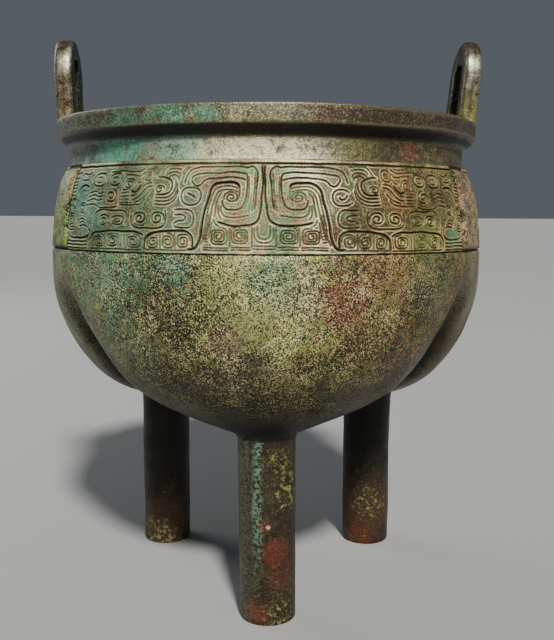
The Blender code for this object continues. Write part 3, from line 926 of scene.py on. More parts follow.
def carve(u, v, cuts):
    """How deep each point of the grid is cut, and how far it lies from the nearest groove's edge."""
    reach = 3.2
    farthest = 4.0
    edge_share = 0.44
    depth_map = np.zeros((len(u), len(v)))
    near_map = np.full((len(u), len(v)), farthest)
    cell = u[1] - u[0]
    cell_up = v[1] - v[0]
    for points, width, depth in cuts:
        half = edge_share * width
        place = np.arange(len(points))
        taper = np.clip(np.minimum(place, place[::-1]) * 0.35 + 0.25, 0.0, 1.0)
        for k in range(len(points) - 1):
            a = points[k]
            b = points[k + 1]
            i0 = max(int((min(a[0], b[0]) - reach - u[0]) / cell), 0)
            i1 = min(int((max(a[0], b[0]) + reach - u[0]) / cell) + 2, len(u))
            j0 = max(int((min(a[1], b[1]) - reach - v[0]) / cell_up), 0)
            j1 = min(int((max(a[1], b[1]) + reach - v[0]) / cell_up) + 2, len(v))
            if i0 >= i1 or j0 >= j1:
                continue
            du = u[i0:i1, None] - a[0]
            dv = v[None, j0:j1] - a[1]
            run = b - a
            t = np.clip((du * run[0] + dv * run[1]) / max(run @ run, 1e-9), 0.0, 1.0)
            away = np.hypot(du - t * run[0], dv - t * run[1])
            cut = depth * taper[k] * np.clip(1.25 - 0.85 * away / half, 0.0, 1.0) ** 1.3
            window = (slice(i0, i1), slice(j0, j1))
            depth_map[window] = np.maximum(depth_map[window], cut)
            near_map[window] = np.minimum(near_map[window], np.maximum(away - half, 0.0))
    return depth_map, near_map


def soften(field, times):
    """Blurs a grid a little, once or more."""
    for _ in range(times):
        padded = np.pad(field, 1, mode="edge")
        beside = padded[:-2, 1:-1] + padded[2:, 1:-1] + padded[1:-1, :-2] + padded[1:-1, 2:]
        field = (4 * field + beside) / 8.0
    return field


def flat_grid(across, up):
    """A grid's points in the plane, for noise that follows the unrolled band."""
    u, v = np.meshgrid(across, up, indexing="ij")
    return np.stack((u, v, np.zeros_like(u)), axis=2).reshape(-1, 3)


def slab_mesh(name, azimuths, heights, outer, back):
    """A curved closed slab: a fine outer face, plain edges and a coarse back inside the wall."""
    columns = len(azimuths)
    rows = len(heights)
    cos = np.cos(azimuths)
    sin = np.sin(azimuths)
    face = np.stack((outer * cos[:, None], outer * sin[:, None],
                     np.broadcast_to(heights[None, :], outer.shape)), axis=2).reshape(-1, 3)
    rear = []
    for z in (heights[0], heights[-1]):
        radius = BAND_CURVE(z) - back
        rear.append(np.stack((radius * cos, radius * sin, np.full(columns, z)), axis=1))
    points = np.concatenate((face, rear[0], rear[1]))
    low = columns * rows
    high = low + columns
    i, k = np.meshgrid(np.arange(columns - 1), np.arange(rows - 1), indexing="ij")
    quads = np.stack((i * rows + k, (i + 1) * rows + k, (i + 1) * rows + k + 1, i * rows + k + 1), axis=2)
    faces = quads.reshape(-1, 4).tolist()
    for c in range(columns - 1):
        faces.append((low + c, low + c + 1, (c + 1) * rows, c * rows))
        faces.append((c * rows + rows - 1, (c + 1) * rows + rows - 1, high + c + 1, high + c))
        faces.append((high + c, high + c + 1, low + c + 1, low + c))
    faces.append([*range(rows - 1, -1, -1), low, high])
    last = columns - 1
    faces.append([*range(last * rows, last * rows + rows), high + last, low + last])
    mesh = bpy.data.meshes.new(name)
    mesh.from_pydata(points, [], faces)
    return mesh, low, len(points)


def finish_slab(name, azimuths, heights, rise, relief, sharp_degrees):
    """A slab that stands off the band's curve by the rise at each point of its face."""
    outer = BAND_CURVE(heights)[None, :] + rise
    mesh, fine_count, total = slab_mesh(name, azimuths, heights, outer, SLAB_DEPTH)
    values = np.zeros(total)
    values[:fine_count] = relief.ravel()
    point_value(mesh, "relief", values)
    shade(mesh, sharp_degrees)
    return add_object(name, mesh)


def build_panel(name, start, end, seed):
    """One panel of the frieze between two strips: grooves cut into a domed band of metal."""
    sizes = bpy.context.scene.ding_relief
    half = 0.5 * (end - start) * UNROLL_RADIUS
    columns = int(round(2.0 * half * MM / sizes.cell)) + 1
    rows = int(round((BAND_TOP - BAND_FOOT) / sizes.cell)) + 1
    azimuths = np.linspace(start, end, columns)
    heights = np.linspace(BAND_FOOT, BAND_TOP, rows)
    u = np.linspace(-half, half, columns)
    v = (heights - BAND_FOOT) / MM
    cuts = panel_cuts(half + 1.5) + border_cuts(half)
    depth_map, near_map = carve(u, v, strayed(cuts, sizes.wander / MM, seed))

    flat = flat_grid(u, v)
    patchy = cloud(flat, 14.0, seed + 9.0).reshape(depth_map.shape)
    fine = cloud(flat, 2.2, seed + 5.0).reshape(depth_map.shape)
    worn = np.clip(0.92 + 0.28 * patchy, 0.55, 1.15)
    land = sizes.land_rise * (1.0 - np.exp(-near_map / 0.8))
    land += sizes.lip_rise * np.exp(-((near_map - 0.32) / 0.30) ** 2) * worn
    carved = soften(land - sizes.groove_depth * depth_map * worn, 1)
    top = sizes.lip_rise + 0.35 * sizes.land_rise
    relief = np.clip(0.5 + 0.5 * carved / top, 0.0, 1.0)
    sunk = 0.00025
    end_drop = 0.0009
    rise = carved + 0.00004 * fine + 0.00012 * patchy - sunk
    edge = np.minimum(u - u[0], u[-1] - u)
    rise -= end_drop * np.exp(-(edge / 0.7) ** 2)[:, None]
    return finish_slab(name, azimuths, heights, rise, relief, 75.0)


def build_strip(side):
    """A plain raised bar with rounded edges between two panels."""
    azimuth = STRIP_AZIMUTHS[side]
    cell = 0.0005
    spread = 0.5 * STRIP_WIDTH / STRIP_RADIUS + 0.002
    columns = int(2.0 * spread * STRIP_RADIUS / cell)
    rows = int((BAND_TOP - BAND_FOOT) / cell)
    azimuths = np.linspace(azimuth - spread, azimuth + spread, columns)
    heights = np.linspace(BAND_FOOT, BAND_TOP, rows)
    across = np.abs(azimuths - azimuth) * STRIP_RADIUS
    inset = np.minimum(
        (0.5 * STRIP_WIDTH - across)[:, None],
        np.minimum(heights - STRIP_LOW, STRIP_HIGH - heights)[None, :])
    edge_width = 0.0016
    moat_depth = 0.0007
    moat_width = 0.0006
    proud = STRIP_RISE * np.clip(inset / edge_width, 0.0, 1.0) ** 0.5 * (inset > 0.0)
    moat = -moat_depth * np.exp(-(inset / moat_width) ** 2) * (inset <= 0.0)
    wander = cloud(flat_grid(azimuths * 0.1, heights), 0.009, seed=61.0 + azimuth).reshape(inset.shape)
    rise = soften(proud + moat, 2) + 0.00022 * wander - 0.0003
    relief = np.clip(0.15 + inset / 0.0012, 0.0, 1.0)
    return finish_slab("strip_" + side, azimuths, heights, rise, relief, 60.0)


class Nodes:
    """A short way to write a node tree: each call adds one node and wires its inputs."""

    def __init__(self, tree):
        self.tree = tree

    def wire(self, value, socket):
        """Links another socket, or sets a plain number, vector or colour."""
        if isinstance(value, bpy.types.NodeSocket):
            self.tree.links.new(value, socket)
        elif socket.type == "RGBA":
            socket.default_value = (*tuple(value)[:3], 1.0)
        else:
            socket.default_value = value

    def add(self, kind, inputs=(), **settings):
        node = self.tree.nodes.new(kind)
        for name, value in settings.items():
            setattr(node, name, value)
        for name, value in dict(inputs).items():
            self.wire(value, node.inputs[name])
        return node

    def math(self, operation, *values):
        return self.add("ShaderNodeMath", dict(enumerate(values)), operation=operation).outputs[0]

    def times(self, first, *others):
        for other in others:
            first = self.math("MULTIPLY", first, other)
        return first

    def swing(self, noise, reach):
        """Noise round a half, turned into a swing of the given size round zero."""
        return self.times(self.math("SUBTRACT", noise, 0.5), reach)

    def spread(self, value, low, high, to_low=0.0, to_high=1.0):
        inputs = {"Value": value, "From Min": low, "From Max": high, "To Min": to_low, "To Max": to_high}
        return self.add("ShaderNodeMapRange", inputs, interpolation_type="SMOOTHSTEP").outputs["Result"]

    def mix(self, share, first, second):
        inputs = {0: share, 6: first, 7: second}
        return self.add("ShaderNodeMix", inputs, data_type="RGBA").outputs[2]

    def cloud(self, place, scale, detail=3.0, roughness=0.55, distortion=0.0):
        inputs = {"Vector": place, "Scale": scale, "Detail": detail, "Roughness": roughness,
                  "Distortion": distortion}
        return self.add("ShaderNodeTexNoise", inputs).outputs["Fac"]

    def group(self, tree, inputs):
        return self.add("ShaderNodeGroup", inputs, node_tree=tree).outputs


def new_group(name, inputs, outputs):
    """An empty shader group with named sockets, its node writer and its input and output sockets."""
    tree = bpy.data.node_groups.new(name, "ShaderNodeTree")
    for socket, kind, value in inputs:
        made = tree.interface.new_socket(name=socket, in_out="INPUT", socket_type="NodeSocket" + kind)
        if value is not None:
            made.default_value = value
    for socket, kind in outputs:
        tree.interface.new_socket(name=socket, in_out="OUTPUT", socket_type="NodeSocket" + kind)
    nodes = Nodes(tree)
    given = nodes.add("NodeGroupInput").outputs
    out = nodes.add("NodeGroupOutput").inputs
    return tree, nodes, given, out


def grain_group(name):
    """Fine corrosion grains: pale crusts, dark pits, and their height."""
    tree, nodes, given, out = new_group(
        name,
        [("Place", "Vector", None), ("Size", "Float", 0.0006), ("Pale", "Float", 0.5),
         ("Dark", "Float", 0.5)],
        [("Pale Mask", "Float"), ("Dark Mask", "Float"), ("Height", "Float")])
    scale = nodes.math("DIVIDE", 0.55, given["Size"])
    fine = nodes.cloud(given["Place"], scale, 1.0, 0.5, 0.35)
    coarse = nodes.cloud(given["Place"], nodes.times(scale, 0.3), 2.0, 0.6)
    drift = nodes.cloud(given["Place"], nodes.times(scale, 0.03), 4.0, 0.6)
    both = nodes.math("ADD", nodes.times(fine, 0.76), nodes.times(coarse, 0.24))
    drifted = nodes.math("ADD", both, nodes.swing(drift, 0.28))
    sharpness = 0.035
    pale_edge = nodes.math("SUBTRACT", 0.66, nodes.times(given["Pale"], 0.16))
    dark_edge = nodes.math("ADD", 0.34, nodes.times(given["Dark"], 0.16))
    pale = nodes.spread(drifted, pale_edge, nodes.math("ADD", pale_edge, sharpness))
    dark = nodes.spread(drifted, dark_edge, nodes.math("SUBTRACT", dark_edge, sharpness))
    nodes.wire(pale, out["Pale Mask"])
    nodes.wire(dark, out["Dark Mask"])
    nodes.wire(both, out["Height"])
    return tree


def blotch_group(name):
    """Ragged patches of one kind of patina."""
    tree, nodes, given, out = new_group(
        name,
        [("Place", "Vector", None), ("Size", "Float", 0.02), ("Share", "Float", 0.5), ("Seed", "Float", 0.0),
         ("Softness", "Float", 0.06)],
        [("Mask", "Float")])
    moved = nodes.add("ShaderNodeVectorMath", {0: given["Place"], 1: given["Seed"]}, operation="ADD")
    field = nodes.cloud(moved.outputs["Vector"], nodes.math("DIVIDE", 1.0, given["Size"]), 7.0, 0.64, 0.4)
    edge = nodes.math("SUBTRACT", 0.72, nodes.times(given["Share"], 0.44))
    low = nodes.math("SUBTRACT", edge, given["Softness"])
    high = nodes.math("ADD", edge, given["Softness"])
    nodes.wire(nodes.spread(field, low, high), out["Mask"])
    return tree


def stain_group(name):
    """One stain round a named place, with a ragged edge."""
    tree, nodes, given, out = new_group(
        name,
        [("Place", "Vector", None), ("Middle", "Vector", None), ("Reach", "Float", 0.01),
         ("Ragged", "Float", 0.6)],
        [("Mask", "Float")])
    away = nodes.add("ShaderNodeVectorMath", {0: given["Place"], 1: given["Middle"]}, operation="DISTANCE")
    share = nodes.math("DIVIDE", away.outputs["Value"], given["Reach"])
    rough = nodes.cloud(given["Place"], nodes.math("DIVIDE", 3.4, given["Reach"]), 9.0, 0.78)
    torn = nodes.math("ADD", share, nodes.swing(rough, nodes.times(given["Ragged"], 4.0)))
    nodes.wire(nodes.spread(torn, 1.10, 0.62), out["Mask"])
    return tree


def wear_group(name):
    """Colour and roughness from how high a point stands: dirt in the cuts, rubbed metal on top, which on the
    frieze's ridges is also a painted highlight.
    """
    tree, nodes, given, out = new_group(
        name,
        [("Color", "Color", None), ("Relief", "Float", 1.0), ("Dirt", "Color", None),
         ("Rubbed And Highlight", "Color", None), ("Rub", "Float", 0.4), ("Place", "Vector", None)],
        [("Color", "Color"), ("Roughness", "Float")])
    patch = nodes.cloud(given["Place"], 60.0, 4.0, 0.6)
    uneven = nodes.math("ADD", given["Relief"], nodes.swing(patch, 0.5))
    hollow = nodes.spread(uneven, 0.42, 0.02)
    top = nodes.times(nodes.spread(uneven, 0.76, 0.98), given["Rub"])
    dirty = nodes.mix(hollow, given["Color"], given["Dirt"])
    nodes.wire(nodes.mix(top, dirty, given["Rubbed And Highlight"]), out["Color"])
    nodes.wire(nodes.spread(uneven, 0.1, 0.95, 0.85, 0.42), out["Roughness"])
    return tree


EFFECTS = {
    "patina_grain": grain_group,
    "patina_blotch": blotch_group,
    "patina_stain": stain_group,
    "relief_wear": wear_group,
}


def effect(name):
    """The named group, built the first time that it is asked for."""
    return bpy.data.node_groups.get(name) or EFFECTS[name](name)


class Patina:
    """Layers of patina on one material, painted one over the other at the vessel's own places."""

    def __init__(self, name):
        self.material = bpy.data.materials.new(name)
        self.material.use_nodes = True
        self.nodes = Nodes(self.material.node_tree)
        self.shader = self.material.node_tree.nodes["Principled BSDF"]
        self.place = self.nodes.add("ShaderNodeNewGeometry").outputs["Position"]
        self.x, self.y, self.z = self.nodes.add("ShaderNodeSeparateXYZ", {0: self.place}).outputs
        self.side = self.nodes.math("ABSOLUTE", self.x)
        self.relief = self.point_value("relief")
        self.colour = None

    def point_value(self, name):
        return self.nodes.add("ShaderNodeAttribute", attribute_name=name).outputs["Fac"]

    def both(self, *masks):
        return self.nodes.times(*masks)

    def fade(self, coordinate, start, end):
        return self.nodes.spread(coordinate, start, end)

    def near(self, coordinate, middle, none, full):
        """Full within one distance of the middle, and none past the other."""
        away = self.nodes.math("ABSOLUTE", self.nodes.math("SUBTRACT", coordinate, middle))
        return self.nodes.spread(away, none, full)

    def facing_front(self):
        return self.fade(self.y, -0.02, -0.08)

    def ground(self, size, first, second, third, contrast=0.16):
        nodes = self.nodes
        field = nodes.cloud(self.place, 1.0 / size, 6.0, 0.62, 0.3)
        lower = nodes.mix(nodes.spread(field, 0.5 - contrast, 0.5), first, second)
        self.colour = nodes.mix(nodes.spread(field, 0.5, 0.5 + contrast), lower, third)

    def paint(self, mask, colour, strength=1.0):
        if strength != 1.0:
            mask = self.nodes.times(mask, strength)
        self.colour = self.nodes.mix(mask, self.colour, colour)

    def blotch(self, size, share, seed, softness=0.06):
        inputs = {"Place": self.place, "Size": size, "Share": share, "Seed": seed, "Softness": softness}
        return self.nodes.group(effect("patina_blotch"), inputs)["Mask"]

    def patches(self, size, share, seed, colour, strength, *where, softness=0.06):
        """Paints ragged patches, kept to the masks given."""
        self.paint(self.both(self.blotch(size, share, seed, softness), *where), colour, strength)

    def stains(self, table, flecks=None):
        """Paints single stains, placed in millimetres; a ragged one over 1 is broken up by the flecks."""
        for colour, middle, reach, ragged, strength in table:
            inputs = {"Place": self.place, "Middle": [c * MM for c in middle], "Reach": reach * MM,
                      "Ragged": ragged}
            mask = self.nodes.group(effect("patina_stain"), inputs)["Mask"]
            if flecks is not None and ragged > 1.0:
                mask = self.both(mask, flecks)
            self.paint(mask, colour, strength)

    def grain(self, size, pale, dark):
        inputs = {"Place": self.place, "Size": size, "Pale": pale, "Dark": dark}
        return self.nodes.group(effect("patina_grain"), inputs)

    def wear(self, dirt, rubbed, rub):
        """Darkens the cuts and rubs the high places, where on the frieze the pale colour is also a painted
        highlight, and gives the roughness that goes with it.
        """
        inputs = {"Color": self.colour, "Relief": self.relief, "Dirt": dirt, "Rubbed And Highlight": rubbed, "Rub": rub,
                  "Place": self.place}
        made = self.nodes.group(effect("relief_wear"), inputs)
        self.colour = made["Color"]
        return made["Roughness"]

    def gloss(self, scale, smooth, rough):
        return self.nodes.spread(self.nodes.cloud(self.place, scale, 4.0), 0.3, 0.7, smooth, rough)

    def height(self, grains, grain_share, scale, detail, cloud_share):
        """Height of the grains and of broader unevenness, each by its share."""
        nodes = self.nodes
        fine = nodes.times(grains["Height"], grain_share)
        return nodes.math("ADD", fine, nodes.times(nodes.cloud(self.place, scale, detail), cloud_share))

    def close(self, roughness, metallic, height, bump, specular=0.5):
        nodes = self.nodes
        nodes.wire(self.colour, self.shader.inputs["Base Color"])
        nodes.wire(roughness, self.shader.inputs["Roughness"])
        self.shader.inputs["Metallic"].default_value = metallic
        self.shader.inputs["Specular IOR Level"].default_value = specular
        dent = nodes.add("ShaderNodeBump", {"Height": height, "Strength": 1.0, "Distance": bump})
        nodes.wire(dent.outputs["Normal"], self.shader.inputs["Normal"])
        return self.material


# Stains that have a place of their own: colour, middle and reach in millimetres, raggedness, strength
BOWL_STAINS = (
    ((0.1, 0.2, 0.12), (-60, -83, 153), 24, 0.8, 0.6),
    ((0.08, 0.22, 0.15), (-36, -97.5, 156), 10, 0.8, 0.6),
    ((0.03, 0.02, 0.008), (-40, -95.4, 137), 18, 0.8, 0.8),
    ((0.17, 0.19, 0.05), (-12, -104, 144), 22, 0.8, 0.7),
    ((0.09, 0.23, 0.13), (4, -103.7, 152), 10, 0.8, 0.65),
    ((0.3, 0.3, 0.13), (11, -103.8, 148), 11, 0.8, 0.5),
    ((0.15, 0.036, 0.02), (32, -99.6, 145), 12, 0.7, 0.85),
    ((0.12, 0.055, 0.045), (-15, -103, 129), 8, 0.6, 0.75),
    ((0.2, 0.11, 0.04), (48, -92, 157), 14, 0.7, 0.6),
    ((0.13, 0.07, 0.03), (42, -93, 127), 14, 0.8, 0.6),
    ((0.17, 0.18, 0.045), (2, -103, 125), 12, 0.8, 0.6),
    ((0.08, 0.14, 0.06), (-52, -85, 121), 14, 0.8, 0.65),
    ((0.13, 0.045, 0.022), (-24, -95, 112), 5, 0.8, 0.8),
    ((0.075, 0.062, 0.06), (-6, -100, 115), 13, 0.8, 0.6),
    ((0.13, 0.07, 0.06), (-86, -48, 140), 14, 0.8, 0.5),
    ((0.1, 0.15, 0.07), (70, -76, 150), 16, 0.8, 0.5),
)
LEG_STAINS = (
    ((0.105, 0.02, 0.009), (5, -75.3, 33), 6.8, 0.6, 0.8),
    ((0.12, 0.022, 0.01), (0.5, -75.8, 45), 3.4, 0.7, 0.8),
    ((0.07, 0.02, 0.01), (8, -74, 23), 8.5, 0.45, 0.7),
    ((0.12, 0.03, 0.011), (-4.5, -74, 5), 7, 0.75, 0.8),
    ((0.23, 0.23, 0.06), (7, -75.4, 5), 7, 1.1, 0.85),
    ((0.2, 0.21, 0.06), (6.6, -74.5, 72), 6.2, 1.1, 0.8),
    ((0.26, 0.27, 0.08), (11.8, -71.3, 59), 7.5, 1.2, 0.85),
    ((0.7, 0.52, 0.42), (2, -75.9, 44.7), 1, 0.9, 0.8),
    ((0.105, 0.05, 0.03), (-54.4, 18.8, 12), 17, 0.6, 0.75),
    ((0.33, 0.31, 0.12), (-57, 19.3, 5), 11, 1.1, 0.9),
    ((0.056, 0.026, 0.014), (53.7, 18.9, 22), 21, 0.5, 0.8),
    ((0.11, 0.026, 0.012), (50, 20.1, 4), 8, 0.75, 0.8),
    ((0.23, 0.24, 0.06), (55, 19, 24), 9, 1.2, 0.8),
)
LIP_STAINS = (
    ((0.105, 0.29, 0.19), (-38.4, -92.4, 217), 7.5, 1.1, 0.85),
    ((0.12, 0.3, 0.2), (-22.6, -97.6, 216.5), 6, 1.1, 0.75),
    ((0.105, 0.26, 0.17), (-55.4, -83.1, 216), 7, 1.1, 0.75),
    ((0.075, 0.038, 0.026), (-68, -73.9, 216.5), 7, 0.8, 0.85),
    ((0.11, 0.036, 0.02), (25.5, -96.6, 217), 8, 0.8, 0.75),
    ((0.09, 0.25, 0.17), (65.1, -75.7, 218), 3.2, 0.9, 0.8),
    ((0.11, 0.04, 0.022), (79.6, -60.3, 217), 10, 0.8, 0.75),
    ((0.09, 0.38, 0.26), (-60, -72, 203), 15, 1.0, 0.8),
    ((0.12, 0.4, 0.28), (-33, -88, 204), 12, 1.0, 0.7),
    ((0.06, 0.09, 0.11), (-78.4, -52.1, 201.5), 9, 0.9, 0.7),
    ((0.13, 0.03, 0.018), (59, -73.6, 202.5), 5.5, 0.9, 0.8),
    ((0.17, 0.16, 0.04), (36, -87, 204), 9, 0.9, 0.5),
)
FRIEZE_STAINS = (
    ((0.07, 0.21, 0.16), (-72.5, -71.4, 179), 11, 0.9, 0.75),
    ((0.07, 0.22, 0.17), (-80, -60, 187), 9, 0.9, 0.75),
    ((0.16, 0.08, 0.03), (-61.7, -80.2, 181.1), 6, 0.9, 0.6),
    ((0.08, 0.19, 0.12), (-30, -97.4, 181.1), 11, 0.9, 0.6),
    ((0.18, 0.09, 0.06), (-15, -98.4, 188.7), 8, 0.9, 0.5),
    ((0.09, 0.19, 0.1), (5, -102, 170), 8, 0.9, 0.6),
    ((0.13, 0.035, 0.02), (24, -99.9, 170), 5.5, 0.9, 0.75),
    ((0.14, 0.16, 0.03), (66.3, -78.5, 170), 9, 0.9, 0.7),
    ((0.07, 0.2, 0.12), (80.3, -64.2, 168), 6, 0.9, 0.8),
    ((0.19, 0.085, 0.025), (53.7, -84.5, 187.6), 11, 0.9, 0.6),
)


def paint_bowl(coat, tint, left, right):
    """Broad patches of the bowl. Gives back the green and teal crust, which hides part of the grains."""
    nodes = coat.nodes
    coat.ground(0.011, (0.066, 0.054, 0.024), tint.olive, tint.green, 0.12)
    coat.patches(0.013, 0.6, 3.0, (0.15, 0.3, 0.14), 0.75, left)
    coat.patches(0.014, 0.76, 5.0, (0.062, 0.033, 0.011), 0.92, right)
    coat.patches(0.01, 0.46, 11.0, (0.022, 0.016, 0.006), 0.75)
    leaf = coat.both(
        coat.blotch(0.006, 0.48, 8.0),
        nodes.spread(right, 0.0, 1.0, 1.0, 0.45),
        nodes.spread(coat.z, 0.1, 0.14, 0.4, 1.0))
    teal = coat.both(
        coat.blotch(0.0055, 0.42, 4.0),
        coat.fade(coat.z, 0.112, 0.15),
        coat.fade(coat.x, 0.03, -0.02))
    coat.paint(leaf, tint.leaf, 0.72)
    coat.paint(teal, (0.085, 0.3, 0.15), 0.78)
    coat.patches(0.005, 0.36, 14.0, (0.17, 0.045, 0.02), 0.65)
    coat.patches(0.0045, 0.3, 16.0, (0.23, 0.12, 0.025), 0.6)
    # Paler grey-green on the bowl's left and right sides: partly a smoother patina, partly a painted sheen
    # where the sides catch the light.
    flank = coat.both(coat.fade(coat.side, 0.078, 0.1), coat.fade(coat.z, 0.112, 0.134))
    coat.paint(coat.both(flank, left), (0.22, 0.24, 0.16), 0.65)
    coat.paint(coat.both(flank, right), (0.21, 0.2, 0.11), 0.65)
    # A pale patch on the front middle of the bowl below the band: partly pale patina, partly a painted
    # highlight where the light's sheen falls.
    rubbed = coat.both(
        coat.near(coat.x, -0.01, 0.031, 0.006),
        coat.fade(coat.z, 0.116, 0.142),
        coat.fade(coat.y, -0.03, -0.08))
    coat.patches(0.008, 0.8, 31.0, (0.33, 0.33, 0.13), 0.5, rubbed, softness=0.1)
    coat.stains(BOWL_STAINS)
    # Darker towards the bottom: painted shade on the bowl's underside, away from the light.
    coat.paint(coat.fade(coat.z, 0.128, 0.098), (0.011, 0.012, 0.005), 0.86)
    return nodes.math("MAXIMUM", leaf, teal)


def paint_bowl_grains(coat, tint, right, crust):
    """Cream and black grains, thickest on the front of the bowl and browner to the right and below."""
    nodes = coat.nodes
    centre = coat.fade(coat.side, 0.1, 0.055)
    clear = nodes.spread(nodes.cloud(coat.place, 90.0, 6.0), 0.36, 0.6, 0.35, 1.0)
    amount = coat.both(
        clear,
        nodes.spread(centre, 0.0, 1.0, 0.42, 1.0),
        nodes.spread(crust, 0.2, 1.0, 1.0, 0.68),
        coat.fade(coat.z, 0.08, 0.1),
        nodes.spread(coat.relief, 0.5, 0.9, 0.25, 1.0))
    grains = coat.grain(0.00032, 0.7, 0.88)
    coat.paint(coat.both(grains["Dark Mask"], nodes.spread(amount, 0.0, 0.35)), tint.dark, 0.94)
    pale = nodes.mix(coat.fade(coat.z, 0.128, 0.098), tint.cream, (0.38, 0.33, 0.12))
    pale = nodes.mix(nodes.times(right, 0.8), pale, (0.35, 0.255, 0.12))
    coat.paint(coat.both(grains["Pale Mask"], amount), pale, 0.8)
    return grains


def paint_bowl_creases(coat):
    """Painted shade, near black, in the valleys between the lobes and under the bowl, and dull brown inside.
    """
    nodes = coat.nodes
    outside = coat.fade(coat.relief, 0.5, 0.9)
    slope = math.radians(30.0)
    front = nodes.math("ADD", nodes.times(coat.y, math.cos(slope)), nodes.times(coat.side, math.sin(slope)))
    back = nodes.math("MAXIMUM", coat.side, nodes.times(coat.y, -1.0))
    crease = coat.fade(nodes.math("MINIMUM", nodes.math("ABSOLUTE", front), back), 0.016, 0.006)
    crease = coat.both(crease, outside, coat.fade(coat.z, 0.148, 0.12))
    # Near black along the valleys between the lobes: painted shade in the valleys.
    coat.paint(crease, (0.006, 0.005, 0.003), 0.94)
    coat.paint(coat.fade(coat.relief, 0.52, 0.45), (0.044, 0.036, 0.017), 0.8)
    # Near black under the bowl: painted shade on its underside.
    coat.paint(coat.fade(coat.z, 0.104, 0.084), (0.008, 0.007, 0.004), 0.86)


def paint_legs(coat, tint):
    """Dark brown legs with rust, ochre flecks and, down the front one, a teal streak; painted shade on the
    back legs' upper parts and a painted shadow band where the legs meet the bowl.
    """
    nodes = coat.nodes
    leg = coat.fade(coat.z, 0.0845, 0.0825)
    brown = nodes.mix(nodes.cloud(coat.place, 60.0, 5.0), (0.009, 0.006, 0.003), (0.034, 0.02, 0.008))
    coat.paint(leg, brown)
    coat.patches(0.009, 0.4, 20.0, (0.044, 0.048, 0.017), 0.55, leg)
    coat.patches(0.006, 0.24, 21.0, (0.085, 0.028, 0.013), 0.6, leg, softness=0.1)
    coat.stains(LEG_STAINS, coat.blotch(0.0022, 0.4, 29.0, 0.03))
    bend = nodes.swing(nodes.cloud(coat.place, 90.0, 4.0), 0.004)
    streak = coat.both(
        coat.near(nodes.math("ADD", coat.x, bend), -0.0026, 0.0034, 0.0006),
        leg,
        coat.fade(coat.y, -0.068, -0.072),
        coat.blotch(0.0016, 0.5, 23.0, 0.03),
        coat.fade(coat.z, 0.01, 0.05))
    coat.paint(streak, (0.13, 0.26, 0.17), 0.85)
    mossy = coat.both(leg, coat.fade(coat.y, -0.06, -0.066), coat.fade(coat.x, -0.001, -0.009))
    coat.patches(0.0012, 0.56, 24.0, (0.13, 0.15, 0.095), 0.55, mossy, softness=0.04)
    coat.patches(0.0026, 0.14, 27.0, (0.2, 0.205, 0.07), 0.8, leg)
    specks = coat.grain(0.0004, 0.42, 0.66)
    coat.paint(coat.both(specks["Dark Mask"], leg), tint.dark, 0.55)
    coat.paint(coat.both(specks["Pale Mask"], leg), (0.15, 0.125, 0.06), 0.36)
    # Near black on the upper part of the back legs: painted shade under the bowl.
    shaded = coat.both(coat.fade(coat.z, 0.016, 0.06), coat.fade(coat.y, -0.03, 0.0))
    coat.paint(coat.both(shaded, leg), (0.003, 0.003, 0.002), 0.92)
    # Near black band where the legs meet the bowl: a painted shadow of the lobes on the tops of the legs.
    under = coat.both(coat.fade(coat.z, 0.0818, 0.0825), coat.fade(coat.z, 0.095, 0.087))
    coat.paint(under, (0.004, 0.003, 0.002), 0.92)


def bowl_material():
    """Grainy patina of the bowl: cream and black over green, teal to the left, brown on the legs."""
    tint = bpy.context.scene.ding_colours
    coat = Patina("bowl_patina")
    left = coat.fade(coat.x, -0.01, -0.08)
    right = coat.fade(coat.x, 0.01, 0.08)
    crust = paint_bowl(coat, tint, left, right)
    grains = paint_bowl_grains(coat, tint, right, crust)
    paint_bowl_creases(coat)
    paint_legs(coat, tint)
    height = coat.height(grains, 1.0, 260.0, 4.0, 1.2)
    return coat.close(coat.gloss(45.0, 0.36, 0.6), 0.25, height, 0.0004, 0.36)


